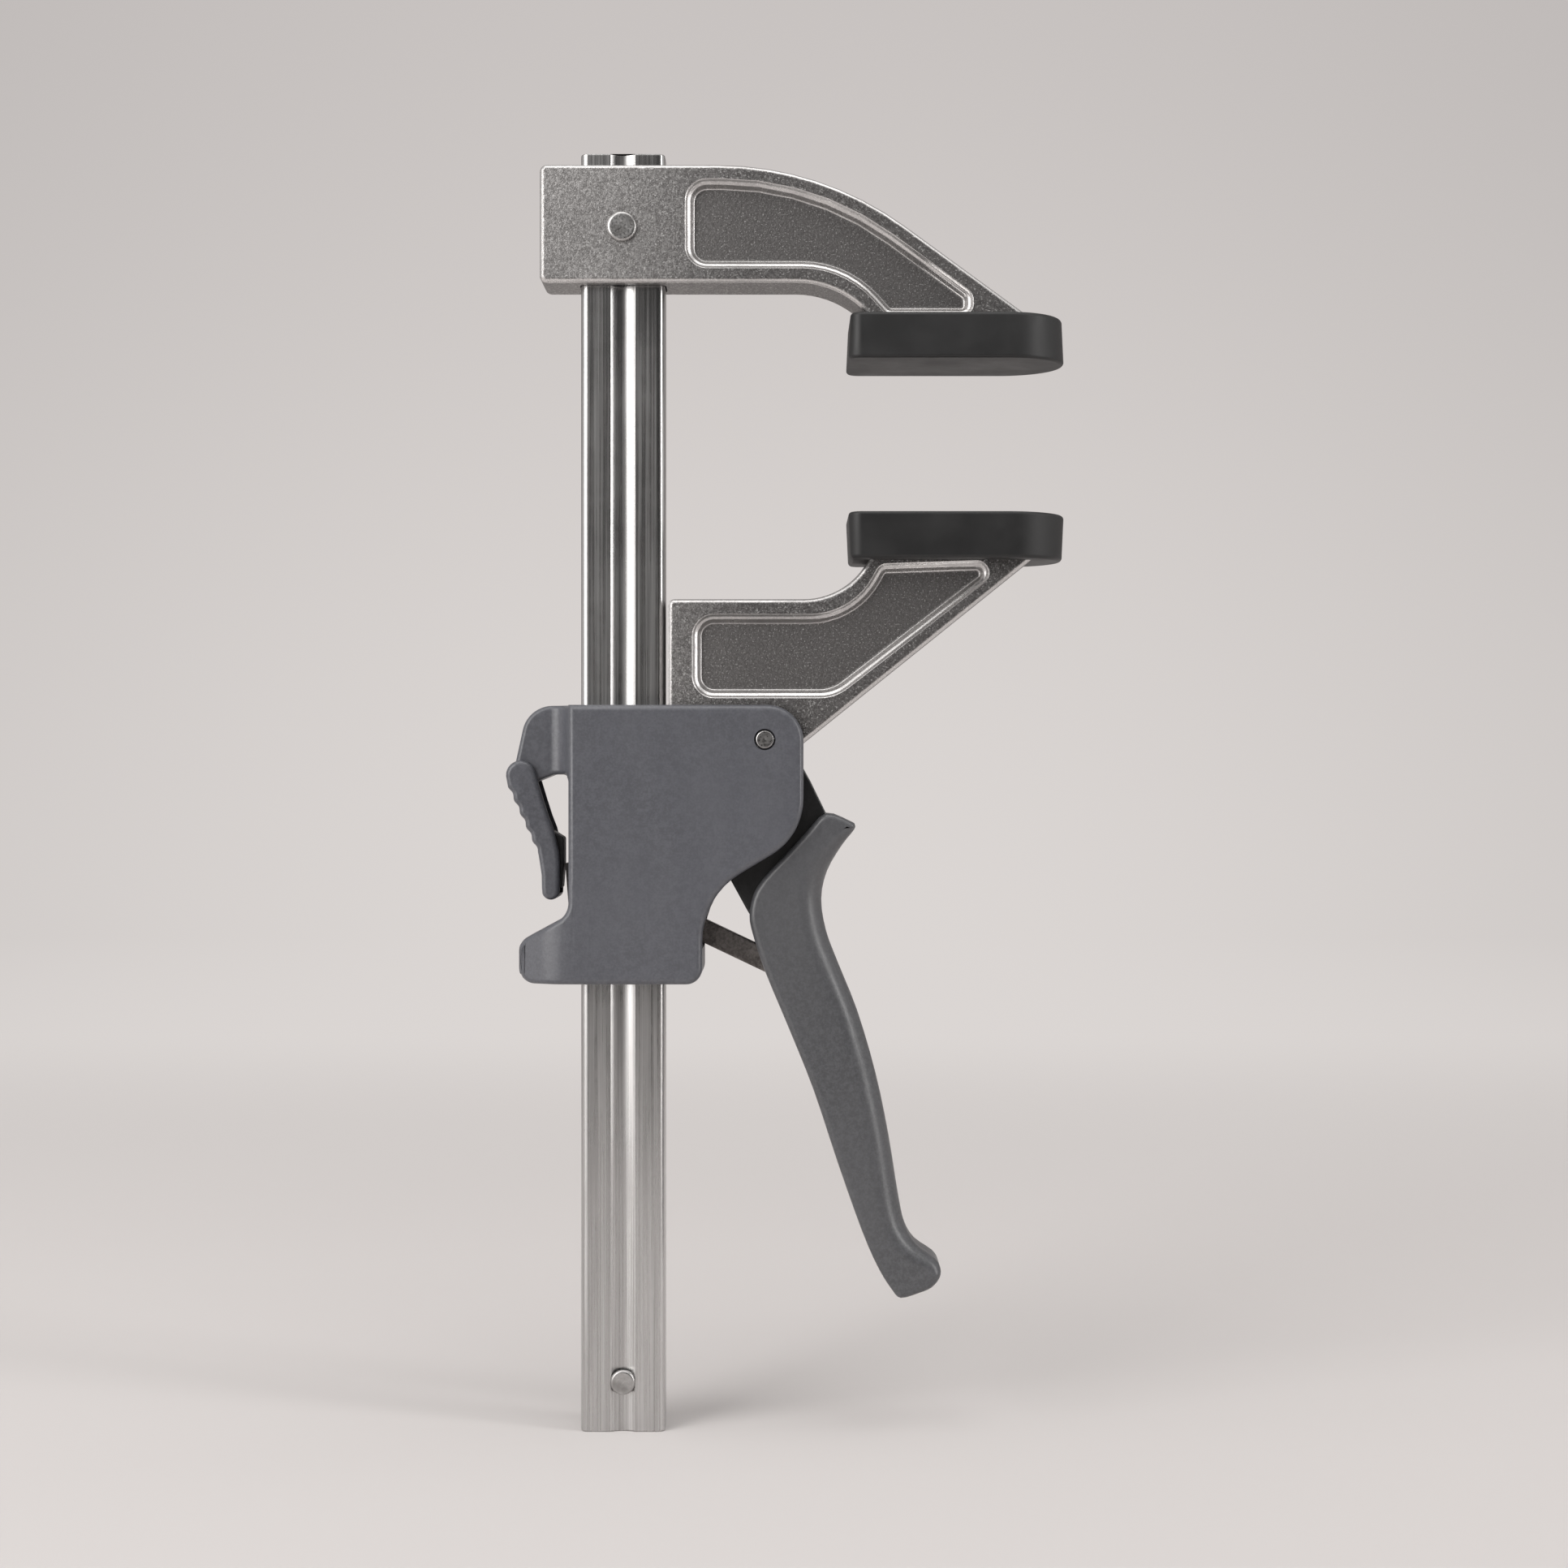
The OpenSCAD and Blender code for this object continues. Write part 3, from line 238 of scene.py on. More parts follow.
def rounded(corners, step=7.5):
    """An outline from its corners, each (x, z, radius), counter-clockwise."""
    outline = []
    for i, (x, z, r) in enumerate(corners):
        b = Vector((x, z))
        if r <= 0:
            outline.append(b)
            continue
        u = (Vector(corners[i - 1][:2]) - b).normalized()
        v = (Vector(corners[(i + 1) % len(corners)][:2]) - b).normalized()
        turn = u.angle(v)
        centre = b + (u + v).normalized() * r / math.sin(turn / 2)
        start = b + u * r / math.tan(turn / 2) - centre
        stop = b + v * r / math.tan(turn / 2) - centre
        a0 = math.atan2(start.y, start.x)
        sweep_angle = (math.atan2(stop.y, stop.x) - a0 + 3 * math.pi) % (2 * math.pi) - math.pi
        n = max(2, math.ceil(abs(math.degrees(sweep_angle)) / step))
        for k in range(n + 1):
            a = a0 + sweep_angle * k / n
            outline.append(centre + Vector((math.cos(a), math.sin(a))) * r)
    return outline


def moved_in(outline, amount):
    """The outline moved inwards; amount is one number or one for each of its points."""
    result = []
    for i, b in enumerate(outline):
        d1 = (b - outline[i - 1]).normalized()
        d2 = (outline[(i + 1) % len(outline)] - b).normalized()
        n1, n2 = Vector((-d1.y, d1.x)), Vector((-d2.y, d2.x))
        e = amount[i] if isinstance(amount, (list, tuple)) else amount
        both = n1 + n2
        result.append(b + both * e / max(both.dot(n1), 0.3))
    return result


def grow(name, outline, levels, along="y"):
    """A solid grown from a filled circle: its corners go onto the outline, and its face is
    extruded through the levels, each a depth and an amount by which the outline moves in."""
    rings = []
    for depth, amount in levels:
        ring = []
        for i, p in enumerate(moved_in(outline, amount)):
            d = depth[i] if isinstance(depth, (list, tuple)) else depth
            ring.append(Vector((p.x, d, p.y) if along == "y" else (p.x, p.y, d)) * mm)
        rings.append(ring)
    bpy.ops.object.select_all(action="DESELECT")
    bpy.ops.mesh.primitive_circle_add(vertices=len(outline), radius=1, fill_type="NGON")
    solid = bpy.context.object
    solid.name = solid.data.name = name
    bpy.ops.object.mode_set(mode="EDIT")
    mesh = bmesh.from_edit_mesh(solid.data)
    for v, p in zip(list(mesh.verts), rings[0]):
        v.co = p
    bmesh.update_edit_mesh(solid.data)
    for before, after in zip(rings, rings[1:]):
        bpy.ops.mesh.extrude_region_move()
        mesh = bmesh.from_edit_mesh(solid.data)
        where = {tuple(round(c, 8) for c in v.co): v for v in mesh.verts if v.select}
        for p, q in zip(before, after):
            v = where.get(tuple(round(c, 8) for c in p))
            if v is None:
                v = min((w for w in mesh.verts if w.select), key=lambda w: (w.co - p).length)
            v.co = q
        bmesh.update_edit_mesh(solid.data)
    bpy.ops.mesh.select_all(action="SELECT")
    bpy.ops.mesh.normals_make_consistent(inside=False)
    bpy.ops.object.mode_set(mode="OBJECT")
    return solid


def soft(low, high, r_low, r_high, steps=5):
    """Levels of a plate between two depths whose edges are rounded."""
    turns = [math.pi / 2 * k / steps for k in range(steps + 1)]
    first = [(low + r_low * (1 - math.cos(a)), r_low * (1 - math.sin(a))) for a in turns]
    last = [(high - r_high * (1 - math.cos(a)), r_high * (1 - math.sin(a))) for a in turns]
    return (first if r_low else [(low, 0)]) + (last[::-1] if r_high else [(high, 0)])


def work(solid, tool, how="DIFFERENCE"):
    """Cuts a tool solid out of a piece, or joins it on."""
    step = solid.modifiers.new("work", "BOOLEAN")
    step.operation, step.solver, step.object = how, "EXACT", tool
    alone(solid)
    bpy.ops.object.modifier_apply(modifier=step.name)
    bpy.data.objects.remove(tool, do_unlink=True)


def block(low, high):
    bpy.ops.object.select_all(action="DESELECT")
    low, high = Vector(low) * mm, Vector(high) * mm
    bpy.ops.mesh.primitive_cube_add(size=1, location=(low + high) / 2, scale=high - low)
    bpy.ops.object.transform_apply(location=True, rotation=True, scale=True)
    return bpy.context.object


def drill(x, z, r, low, high):
    bpy.ops.object.select_all(action="DESELECT")
    bpy.ops.mesh.primitive_cylinder_add(vertices=64, radius=r * mm, depth=(high - low) * mm,
                                        location=(x * mm, (low + high) / 2 * mm, z * mm),
                                        rotation=(math.radians(90), 0, 0))
    bpy.ops.object.transform_apply(location=True, rotation=True, scale=True)
    return bpy.context.object


def dressed(piece, look, body, slot, *nodes, angle=32):
    """Smooths a finished piece and hangs it on its body in place of its plain solids."""
    alone(piece)
    bpy.ops.object.mode_set(mode="EDIT")
    bpy.ops.mesh.select_all(action="SELECT")
    bpy.ops.mesh.remove_doubles(threshold=0.004 * mm)
    bpy.ops.mesh.normals_make_consistent(inside=False)
    bpy.ops.object.mode_set(mode="OBJECT")
    bpy.ops.object.shade_smooth_by_angle(angle=math.radians(angle))
    keep = piece.modifiers.new("flat faces stay flat", "WEIGHTED_NORMAL")
    keep.keep_sharp = True
    bpy.ops.object.modifier_apply(modifier=keep.name)
    piece.data.materials.clear()
    piece.data.materials.append(look)
    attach(piece, body)
    if nodes:
        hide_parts(*nodes)


def rail_look():
    look, wire, at, skin = new_look("drawn rail steel")
    streaks = noise(wire, stretched(wire, at, (1, 1, 0.006)), 1500.0, 5.0, 0.7)
    broad = noise(wire, stretched(wire, at, (1, 1, 0.03)), 260.0, 3.0)
    stain = noise(wire, at, 22.0, 4.0)
    tone = ramp(wire, streaks * 0.6 + broad * 0.4, 0.36, 0.64)
    colour = blend(wire, tone, grey(176, (1, 0.985, 0.975)), grey(216, (1, 0.99, 0.985)))
    colour = blend(wire, ramp(wire, stain, 0.52, 0.75, 0, 0.35), colour, grey(150, (1, 0.97, 0.95)))
    feed(look, skin, {"Base Color": colour,
                      "Roughness": ramp(wire, streaks * 0.5 + stain * 0.5, 0.3, 0.7, 0.20, 0.36),
                      "Normal": bumped(wire, streaks, 0.35, 0.02 * mm)}, {"Metallic": 1.0})
    return look


rail_l, rail_half_w, rail_half_t, rail_edge_r, rail_end_r = 334.2, 11.0, 5.25, 2.0, 0.5
groove_half, groove_apex, groove_r, groove_lip_r = 3.2, 3.01, 5.2, 0.35
half_front = [(-rail_half_w, -rail_half_t, rail_edge_r), (-groove_half, -rail_half_t, groove_lip_r),
              (0, -groove_apex, groove_r), (groove_half, -rail_half_t, groove_lip_r),
              (rail_half_w, -rail_half_t, rail_edge_r)]
rail_corners = half_front + [(-x, -y, r) for x, y, r in half_front]
rail = grow("bar", rounded(rail_corners, 5), soft(0, rail_l, rail_end_r, rail_end_r, 3), along="z")
dressed(rail, rail_look(), "bar", "rail_steel", "guide_bar", angle=25)

# Fixed jaw
# The upper jaw: one die casting with a square socket over the rail and a recessed panel in each
# cheek. Sand textured, with the outer edges and the panel's lip polished by the fettling belt,
# which makes them smoother; their lighter colour is a painted highlight.


def cast_look():
    look, wire, at, skin = new_look("cast jaw metal")
    normal = wire.node("ShaderNodeTexCoord", {}, {}, "Normal")
    facing = wire.node("ShaderNodeSeparateXYZ", {}, {0: normal}, 1)
    across = wire.node("ShaderNodeMath", {"operation": "ABSOLUTE"}, {0: facing})
    edge = ramp(wire, across, 0.12, 0.4) * (1 - ramp(wire, across, 0.86, 0.985))
    grain = noise(wire, at, 2900.0, 2.5, 0.6)
    coarse = noise(wire, at, 1150.0, 3.0, 0.55)
    cloud = noise(wire, at, 34.0, 4.0, 0.6)
    sparkle = ramp(wire, noise(wire, at, 2300.0, 1.5), 0.6, 0.7)
    tone = grain * 0.6 + coarse * 0.4
    colour = blend(wire, ramp(wire, tone, 0.4, 0.62), grey(132, (1, 0.965, 0.95)),
                   grey(206, (1, 0.975, 0.965)))
    # Painted shade: the arm's colour darkens towards its clamping end, standing in for light falling off.
    along = wire.node("ShaderNodeSeparateXYZ", {}, {0: at}, 0)
    painted_falloff_tone = blend(wire, ramp(wire, tone, 0.4, 0.62), grey(92, (1, 0.955, 0.945)),
                 grey(152, (1, 0.97, 0.96)))
    colour = blend(wire, ramp(wire, along, -8 * mm, 36 * mm), colour, painted_falloff_tone)
    colour = blend(wire, ramp(wire, cloud, 0.35, 0.68, 0, 0.35), colour, grey(120, (1, 0.96, 0.945)))
    # Painted shade: surfaces nearer the middle plane than 6.2 mm, the sunk panel floors, are darkened as
    # recess shadow.
    depth = wire.node("ShaderNodeMath", {"operation": "ABSOLUTE"},
                      {0: wire.node("ShaderNodeSeparateXYZ", {}, {0: at}, 1)})
    painted_recess_shade = (1 - ramp(wire, depth, 6.2 * mm, 8.6 * mm)) * ramp(wire, cloud, 0.2, 0.7, 0.75, 0.5)
    colour = blend(wire, painted_recess_shade * 0.8, colour, grey(122, (1, 0.955, 0.94)))
    colour = blend(wire, sparkle * 0.55, colour, grey(240, (1, 0.99, 0.98)))
    # Painted highlight: edges turned away from the front are lightened; their lower roughness stands for
    # real polish.
    painted_edge_highlight = edge * ramp(wire, cloud, 0.25, 0.6, 0.55, 1.0)
    colour = blend(wire, painted_edge_highlight * 0.75, colour, grey(232, (1, 0.98, 0.97)))
    feed(look, skin, {"Base Color": colour,
                      "Roughness": ramp(wire, tone, 0.3, 0.7, 0.5, 0.38) - painted_edge_highlight * 0.16,
                      "Normal": bumped(wire, (grain * 0.7 + coarse) * (1 - painted_edge_highlight * 0.7), 0.75, 0.1 * mm)},
         {"Metallic": 0.95})
    return look


cast_metal = cast_look()
arm_half, arm_edge_r, lip = 9.3, 1.35, 4.1


def panel(corners):
    """The tool that sinks a panel: a rolled lip, a sloping wall and a rolled foot."""
    outline = rounded(corners)
    steps = [(-1.0, -1.3), (-0.12, -0.62), (0.05, -0.35), (0.3, -0.1), (0.75, 0.12), (1.0, 0.42),
             (1.15, 0.8), (1.45, 1.05), (2.6, 1.5), (3.0, 1.75), (3.17, 2.05), (3.2, 2.5)]
    front = grow("panel tool", outline, [(d - arm_half, e) for d, e in steps])
    back = grow("panel tool", outline, [(arm_half - d, e) for d, e in steps])
    return front, back


def cut_panels(arm, corners):
    for tool in panel(corners):
        work(arm, tool)


def insets(points, amount):
    return moved_in([Vector(p) for p in points], amount)


jaw_low, jaw_top, jaw_back, in_pad = 299.8, 330.5, 291.2, 3
toe, heel, shoulder, throat, foot_x = 105.7, -21.4, 51.9, 56.2, 64.2
block_r, throat_r, back_r = 1.8, 25.0, 83.0
jaw = grow("fixed_jaw_casting", rounded([
    (heel, jaw_low, block_r), (throat, jaw_low, throat_r), (foot_x, jaw_back, 0),
    (foot_x, jaw_back - in_pad, 0), (toe, jaw_back - in_pad, 0), (toe, jaw_back, 0),
    (shoulder, jaw_top, back_r), (heel, jaw_top, block_r)], 5),
    soft(-arm_half, arm_half, arm_edge_r, arm_edge_r))
panel_heel, panel_foot, panel_low, panel_end = 12.76, 67.2, 287.5, 95.1
panel_radii = (5.3, throat_r, 2.6, 2.6, 3.4, 75.0, 5.3)
panel_end_z = jaw_top + (jaw_back - jaw_top) * (panel_end - shoulder) / (toe - shoulder)
shape = insets([(panel_heel, jaw_low), (throat, jaw_low), (panel_foot, panel_low),
                (panel_end, panel_low), (panel_end, panel_end_z), (shoulder, jaw_top),
                (panel_heel, jaw_top)], lip)
cut_panels(jaw, [(p.x, p.y, r) for p, r in zip(shape, panel_radii)])


def rail_way(half_w, half_t, r, low, high):
    """The tool for a hole round the rail."""
    corners = [(-half_w, -half_t, r), (half_w, -half_t, r), (half_w, half_t, r), (-half_w, half_t, r)]
    return grow("rail way", rounded(corners), [(low, 0), (high, 0)], along="z")


work(jaw, rail_way(11.3, 5.55, 2.2, 290, 340))
dressed(jaw, cast_metal, "bar", "cast_metal", "fixed_jaw")

# Pins through the bar
# The jaw's rivet and the stop pin near the rail's foot: turned steel, each with a low crowned
# head on both sides, pressed through the rail.


def pin_look():
    look, wire, at, skin = new_look("turned pin steel")
    rings = noise(wire, at, 1900.0, 3.0)
    cloud = noise(wire, at, 230.0, 3.0)
    feed(look, skin, {"Base Color": blend(wire, ramp(wire, cloud, 0.35, 0.65), grey(158, (1, 0.975, 0.955)),
                                          grey(196, (1, 0.985, 0.975))),
                      "Roughness": ramp(wire, rings, 0.3, 0.7, 0.26, 0.42),
                      "Normal": bumped(wire, rings, 0.25, 0.02 * mm)}, {"Metallic": 1.0})
    return look


pin_steel = pin_look()


def round_outline(x, z, r, sides=72):
    return [Vector((x + r * math.cos(2 * math.pi * k / sides), z + r * math.sin(2 * math.pi * k / sides)))
            for k in range(sides)]


def crowned_pin(name, z, head_r, shank_r, seat, height):
    crown = [(0, 0.24), (0.05, 0.14), (0.2, 0.06), (0.45, 0.015), (0.7, 0)]
    half = [(-seat - height + height * d, head_r * e) for d, e in crown]
    half += [(-seat, 0), (-seat, head_r - shank_r)]
    return grow(name, round_outline(0, z, head_r), half + [(-d, e) for d, e in half[::-1]])


rivet_z, rivet_head_r, rivet_r, rivet_head_h = 314.2, 3.9, 2.4, 1.2
stop_z, stop_head_r, stop_r, stop_head_h = 13.1, 3.25, 1.9, 1.1
dressed(crowned_pin("jaw_rivet", rivet_z, rivet_head_r, rivet_r, arm_half, rivet_head_h), pin_steel,
        "bar", "plated_steel", "fixed_jaw_rivet", angle=40)
dressed(crowned_pin("stop_pin", stop_z, stop_head_r, stop_r, rail_half_t, stop_head_h), pin_steel,
        "bar", "plated_steel", "bar_stop_pin", angle=40)

# Pads
# Two moulded rubber pads, square towards the rail and round at the tip, pushed over the soles of
# the jaws. Matt black, with a slight flare to the clamping face.


def rubber_look():
    look, wire, at, skin = new_look("pad rubber")
    fine = noise(wire, at, 1500.0, 3.0)
    dust = noise(wire, at, 60.0, 4.0)
    feed(look, skin, {"Base Color": blend(wire, ramp(wire, dust, 0.42, 0.72, 0, 0.5),
                                          grey(30, (1, 1, 1.03)), grey(41, (1, 1, 1.02))),
                      "Roughness": ramp(wire, dust, 0.3, 0.7, 0.42, 0.56),
                      "Normal": bumped(wire, fine, 0.3, 0.03 * mm)}, {"Specular IOR Level": 0.5})
    return look


pad_rubber = rubber_look()
pad_x0, pad_x1, pad_half, pad_t = 58.8, 115.7, 16.0, 12.0
pad_heel_r, pad_tip_r, pad_flare = 3.5, 15.85, 0.55
fixed_face, sliding_face = 279.2, 239.7


def pad(name, face, up):
    outline = rounded([(pad_x0, -pad_half, pad_heel_r), (pad_x1, -pad_half, pad_tip_r),
                       (pad_x1, pad_half, pad_tip_r), (pad_x0, pad_half, pad_heel_r)], 5)
    levels = [(d, e + pad_flare * d / pad_t) for d, e in soft(0, pad_t, 0.9, 1.0)]
    return grow(name, outline, [(face + up * d, e) for d, e in levels], along="z")


dressed(pad("fixed_pad", fixed_face, 1), pad_rubber, "bar", "pad_rubber", "fixed_jaw_pad", angle=40)
dressed(pad("sliding_pad", sliding_face, -1), pad_rubber, "sliding_arm", "pad_rubber",
        "sliding_jaw_pad", angle=40)

# Sliding jaw
# The lower jaw: the same casting metal. Its tail runs down beside the rail inside the housing,
# where the toggle link pushes it up; a panel is sunk into each cheek.
root_z, top_z, back_z, tail_x = 176.0, 217.5, 227.7, 11.95
lean, sole_toe, sole_foot, inner_r = 0.804, 106.46, 57.5, 19.0
pin_x, pin_z, hub_room_r = 37.2, 180.9, 8.4


def under(z):
    return sole_toe - (back_z - z) / lean


arm = grow("sliding_jaw_casting", rounded([
    (tail_x, root_z, 0), (under(root_z), root_z, 0), (under(back_z), back_z, 0),
    (under(back_z), back_z + in_pad, 0), (foot_x, back_z + in_pad, 0), (foot_x, back_z, 0),
    (sole_foot, top_z, inner_r), (tail_x, top_z, block_r)], 5),
    soft(-arm_half, arm_half, arm_edge_r, arm_edge_r))
low, high, panel_heel, panel_toe = 187.85, 230.6, 14.4, 64.8
panel_radii = (5.3, 11.5, 2.9, 2.7, inner_r, 5.3)
shape = insets([(panel_heel, low), (under(low), low), (under(high), high), (panel_toe, high),
                (sole_foot, top_z), (panel_heel, top_z)], lip + 0.2)
cut_panels(arm, [(p.x, p.y, r) for p, r in zip(shape, panel_radii)])
work(arm, drill(pin_x, pin_z, hub_room_r, -10, 10))
work(arm, block((pin_x - hub_room_r, -10, 174), (pin_x + hub_room_r, 10, pin_z)))
tail_x1, tail_low, tail_high, tail_half, fork_half = 19.55, 129.6, 178, 5.5, 2.35
tail = grow("tail", rounded([(tail_x, tail_low, 0.6), (tail_x1, tail_low, 0.6), (tail_x1, tail_high, 0),
                             (tail_x, tail_high, 0)]), soft(-tail_half, tail_half, 0.5, 0.5, 3))
work(tail, block((10, -fork_half, 125), (21, fork_half, 138.6)))
slot_x0, slot_x1, slot_low, slot_high, slot_r = 12.85, 17.7, 131.65, 135.75, 1.3
work(tail, grow("slot tool", rounded([(slot_x0, slot_low, slot_r), (slot_x1, slot_low, slot_r),
                                      (slot_x1, slot_high, slot_r), (slot_x0, slot_high, slot_r)]),
                [(-8, 0), (8, 0)]))
work(arm, tail, "UNION")
dressed(arm, cast_metal, "sliding_arm", "cast_metal", "sliding_jaw")

# Housing
# Two half shells of glass-filled nylon, moulded with a fine spark texture and held by three
# screws from the back. The ear at the upper left carries the release lever, the foot at the lower
# left covers the end of the locking plate.


def nylon_look(name, level, tint):
    look, wire, at, skin = new_look(name)
    spark = noise(wire, at, 1700.0, 3.0, 0.6)
    cell = noise(wire, at, 640.0, 2.0)
    cloud = noise(wire, at, 17.0, 4.0)
    scuff = noise(wire, stretched(wire, at, (1.0, 1.0, 0.3)), 90.0, 6.0, 0.75)
    tone = spark * 0.6 + cell * 0.4
    colour = blend(wire, ramp(wire, tone, 0.38, 0.64), grey(level - 9, tint), grey(level + 7, tint))
    colour = blend(wire, ramp(wire, cloud, 0.35, 0.7, 0, 0.6), colour, grey(level + 6, tint))
    feed(look, skin, {"Base Color": colour,
                      "Roughness": ramp(wire, scuff, 0.35, 0.7, 0.31, 0.41),
                      "Normal": bumped(wire, tone, 0.75, 0.055 * mm)}, {"Specular IOR Level": 0.66})
    return look


housing_nylon = nylon_look("housing nylon", 90, (0.96, 0.985, 1.12))
shell_half, seam, shell_wall, cavity_y, shell_roll = 13.5, 0.06, 2.3, 10.8, 1.6
pin_hole_r, pin_window_r, stud_hole_r, screw_head_r, screw_head_h = 2.5, 2.78, 1.05, 2.29, 2.07
stud_x, stud_z = -26.6, 171.7
body_corners = [(-13.65, 117.5, 0), (21, 117.5, 4.2), (21, 140.3, 20.4), (47.2, 156, 17),
                (47.2, 189.9, 9.3), (-13.65, 189.9, 0)]
ear_corners = [(-28.35, 169.75, 1.75), (-24.3, 169.3, 1.2), (-18.0, 171.9, 2.3), (-13.67, 171.9, 2.1),
               (-13.6, 165.2, 0), (-9, 165.2, 0), (-9, 189.88, 0), (-24.9, 189.88, 8),
               (-28.35, 174.0, 1.75)]
foot_corners = [(-27, 117.52, 4.2), (-9, 117.52, 0), (-9, 144.6, 0), (-13.6, 144.6, 0),
                (-13.67, 135.4, 5.2), (-27, 128.3, 4.4)]
ear_plan = [(-33, -5, 0), (-15.7, -5, 4.6), (-13.6, -12.1, 0), (-9, -12.1, 0), (-9, 3, 0), (-33, 3, 0)]
foot_plan = [(-27.1, -7.4, 3.5), (-17.6, -13.48, 13.5), (-9.2, -13.48, 0), (-9.2, 3, 0), (-27.1, 3, 0)]


def lobe(corners, plan, roll):
    """An ear or foot: its outline from the front, trimmed by its outline from above, and rolled
    round its front rim. The outlines stop a hair short of the body's own faces, because a cut
    along a shared face can lose the shell."""
    solid = grow("lobe", rounded(corners), [(-16, 0), (2, 0)])
    work(solid, grow("plan", rounded(plan), [(110, 0), (195, 0)], along="z"), "INTERSECT")
    alone(solid)
    bpy.ops.object.mode_set(mode="EDIT")
    bpy.ops.mesh.select_mode(type="EDGE")
    bpy.ops.mesh.select_all(action="DESELECT")
    mesh = bmesh.from_edit_mesh(solid.data)
    for e in mesh.edges:
        if len(e.link_faces) == 2:
            fronts = sorted(-f.normal.y for f in e.link_faces)
            outside = max(v.co.y for v in e.verts) < 1 * mm
            e.select = fronts[0] < 0.1 and 0.15 < fronts[1] and outside and e.calc_face_angle(0) > 0.7
    bmesh.update_edit_mesh(solid.data)
    bpy.ops.mesh.bevel(offset=roll * mm, segments=4, affect="EDGES")
    bpy.ops.mesh.select_all(action="SELECT")
    bpy.ops.mesh.remove_doubles(threshold=0.01 * mm)
    bpy.ops.mesh.dissolve_degenerate(threshold=0.01 * mm)
    bpy.ops.object.mode_set(mode="OBJECT")
    return solid


def half_shell(name):
    outline = rounded(body_corners)
    shell = grow(name, outline, soft(-shell_half, 1, shell_roll, 0, 7))
    work(shell, lobe(ear_corners, ear_plan, 1.2), "UNION")
    work(shell, lobe(foot_corners, foot_plan, 1.3), "UNION")
    work(shell, block((-40, -seam, 100), (60, 8, 200)))
    work(shell, grow("cavity", moved_in(outline, shell_wall), [(-cavity_y, 0), (2, 0)]))
    work(shell, block((11.65, -10.79, 126.6), (50, 3, 195)))
    work(shell, rail_way(11.35, 5.6, 2, 110, 196))
    work(shell, block((-20.2, -4.5, 125.9), (-9.1, 4, 158)))
    work(shell, block((-18, -9.3, 121.9), (-9.3, 5, 129.5)))
    work(shell, block((-12.8, -7.3, 149.5), (0, 6, 176.2)))
    work(shell, drill(pin_x, pin_z, pin_hole_r, -20, 2.5))
    work(shell, drill(pin_x, pin_z, pin_window_r, -21, -12.4))
    work(shell, drill(stud_x, stud_z, stud_hole_r, -22, 3.5))
    return shell


front = half_shell("housing_front_shell")
alone(front)
bpy.ops.object.duplicate()
back = bpy.context.object
back.name = back.data.name = "housing_back_shell"
bpy.ops.object.mode_set(mode="EDIT")
bpy.ops.mesh.select_all(action="SELECT")
bpy.ops.transform.resize(value=(1, -1, 1), center_override=(0, 0, 0))
bpy.ops.mesh.normals_make_consistent(inside=False)
bpy.ops.object.mode_set(mode="OBJECT")
for x, z, depth in ((-22.4, 122.8, 9.72), (-19.6, 183.5, 5.0), (21.86, 169.74, 13.5)):
    work(back, drill(x, z, screw_head_r, depth - screw_head_h, 20))
dressed(front, housing_nylon, "carriage", "housing_plastic", "housing_front")
dressed(back, housing_nylon, "carriage", "housing_plastic", "housing_back")

handle_pin = grow("hinge_pin", round_outline(pin_x, pin_z, 2.45),
                  [(-13.4, 0.5), (-13.36, 0.32), (-13.2, 0.1), (-12.95, 0), (12.95, 0), (13.2, 0.1),
                   (13.36, 0.32), (13.4, 0.5)])
dressed(handle_pin, pin_steel, "carriage", "plated_steel", "handle_pin", angle=40)

# Handle
# A black nylon lever turns on the hinge pin inside the housing; a grey grip is moulded over its
# lower end, flat on the hand's palm side and well rounded outside.
black_nylon = nylon_look("black nylon", 32, (1, 1, 1.04))
grip_nylon = nylon_look("grip nylon", 83, (0.975, 0.99, 1.06))
reach, length = 49.9, 126.4
grip_x, grip_z = 33.17, 35.42


def at_share(points):
    return [Vector((grip_x + u * reach, grip_z + v * length)) for u, v in points]


core_share = [(-0.04, 1.14), (-0.04, 1.03), (-0.112, 0.96), (-0.105, 0.865), (-0.015, 0.8), (0.09, 0.73),
              (0.2, 0.58), (0.36, 0.58), (0.3, 0.76), (0.33, 0.9), (0.44, 0.987), (0.4, 1.0), (0.32, 1.065),
              (0.285, 1.09), (0.235, 1.115), (0.225, 1.14)]
core_half, hub_r, core_hole_r = 5, 7.5, 2.52
core = grow("handle_lever", at_share(core_share), soft(-core_half, core_half, 0.5, 0.5, 3))
hub = grow("hub", round_outline(pin_x, pin_z, hub_r), soft(-core_half, core_half, 0.4, 0.4, 2))
work(core, hub, "UNION")
work(core, drill(pin_x, pin_z, core_hole_r, -8, 8))
mouth_share = [(0.02, 0.64), (0.3, 0.7), (0.24, 0.84), (-0.35, 0.9), (-0.4, 0.72)]
mouth_half = 2.5


def link_mouth():
    return grow("mouth", at_share(mouth_share), [(-mouth_half, 0), (mouth_half, 0)])


work(core, link_mouth())
dressed(core, black_nylon, "handle", "core_plastic", "handle_core")

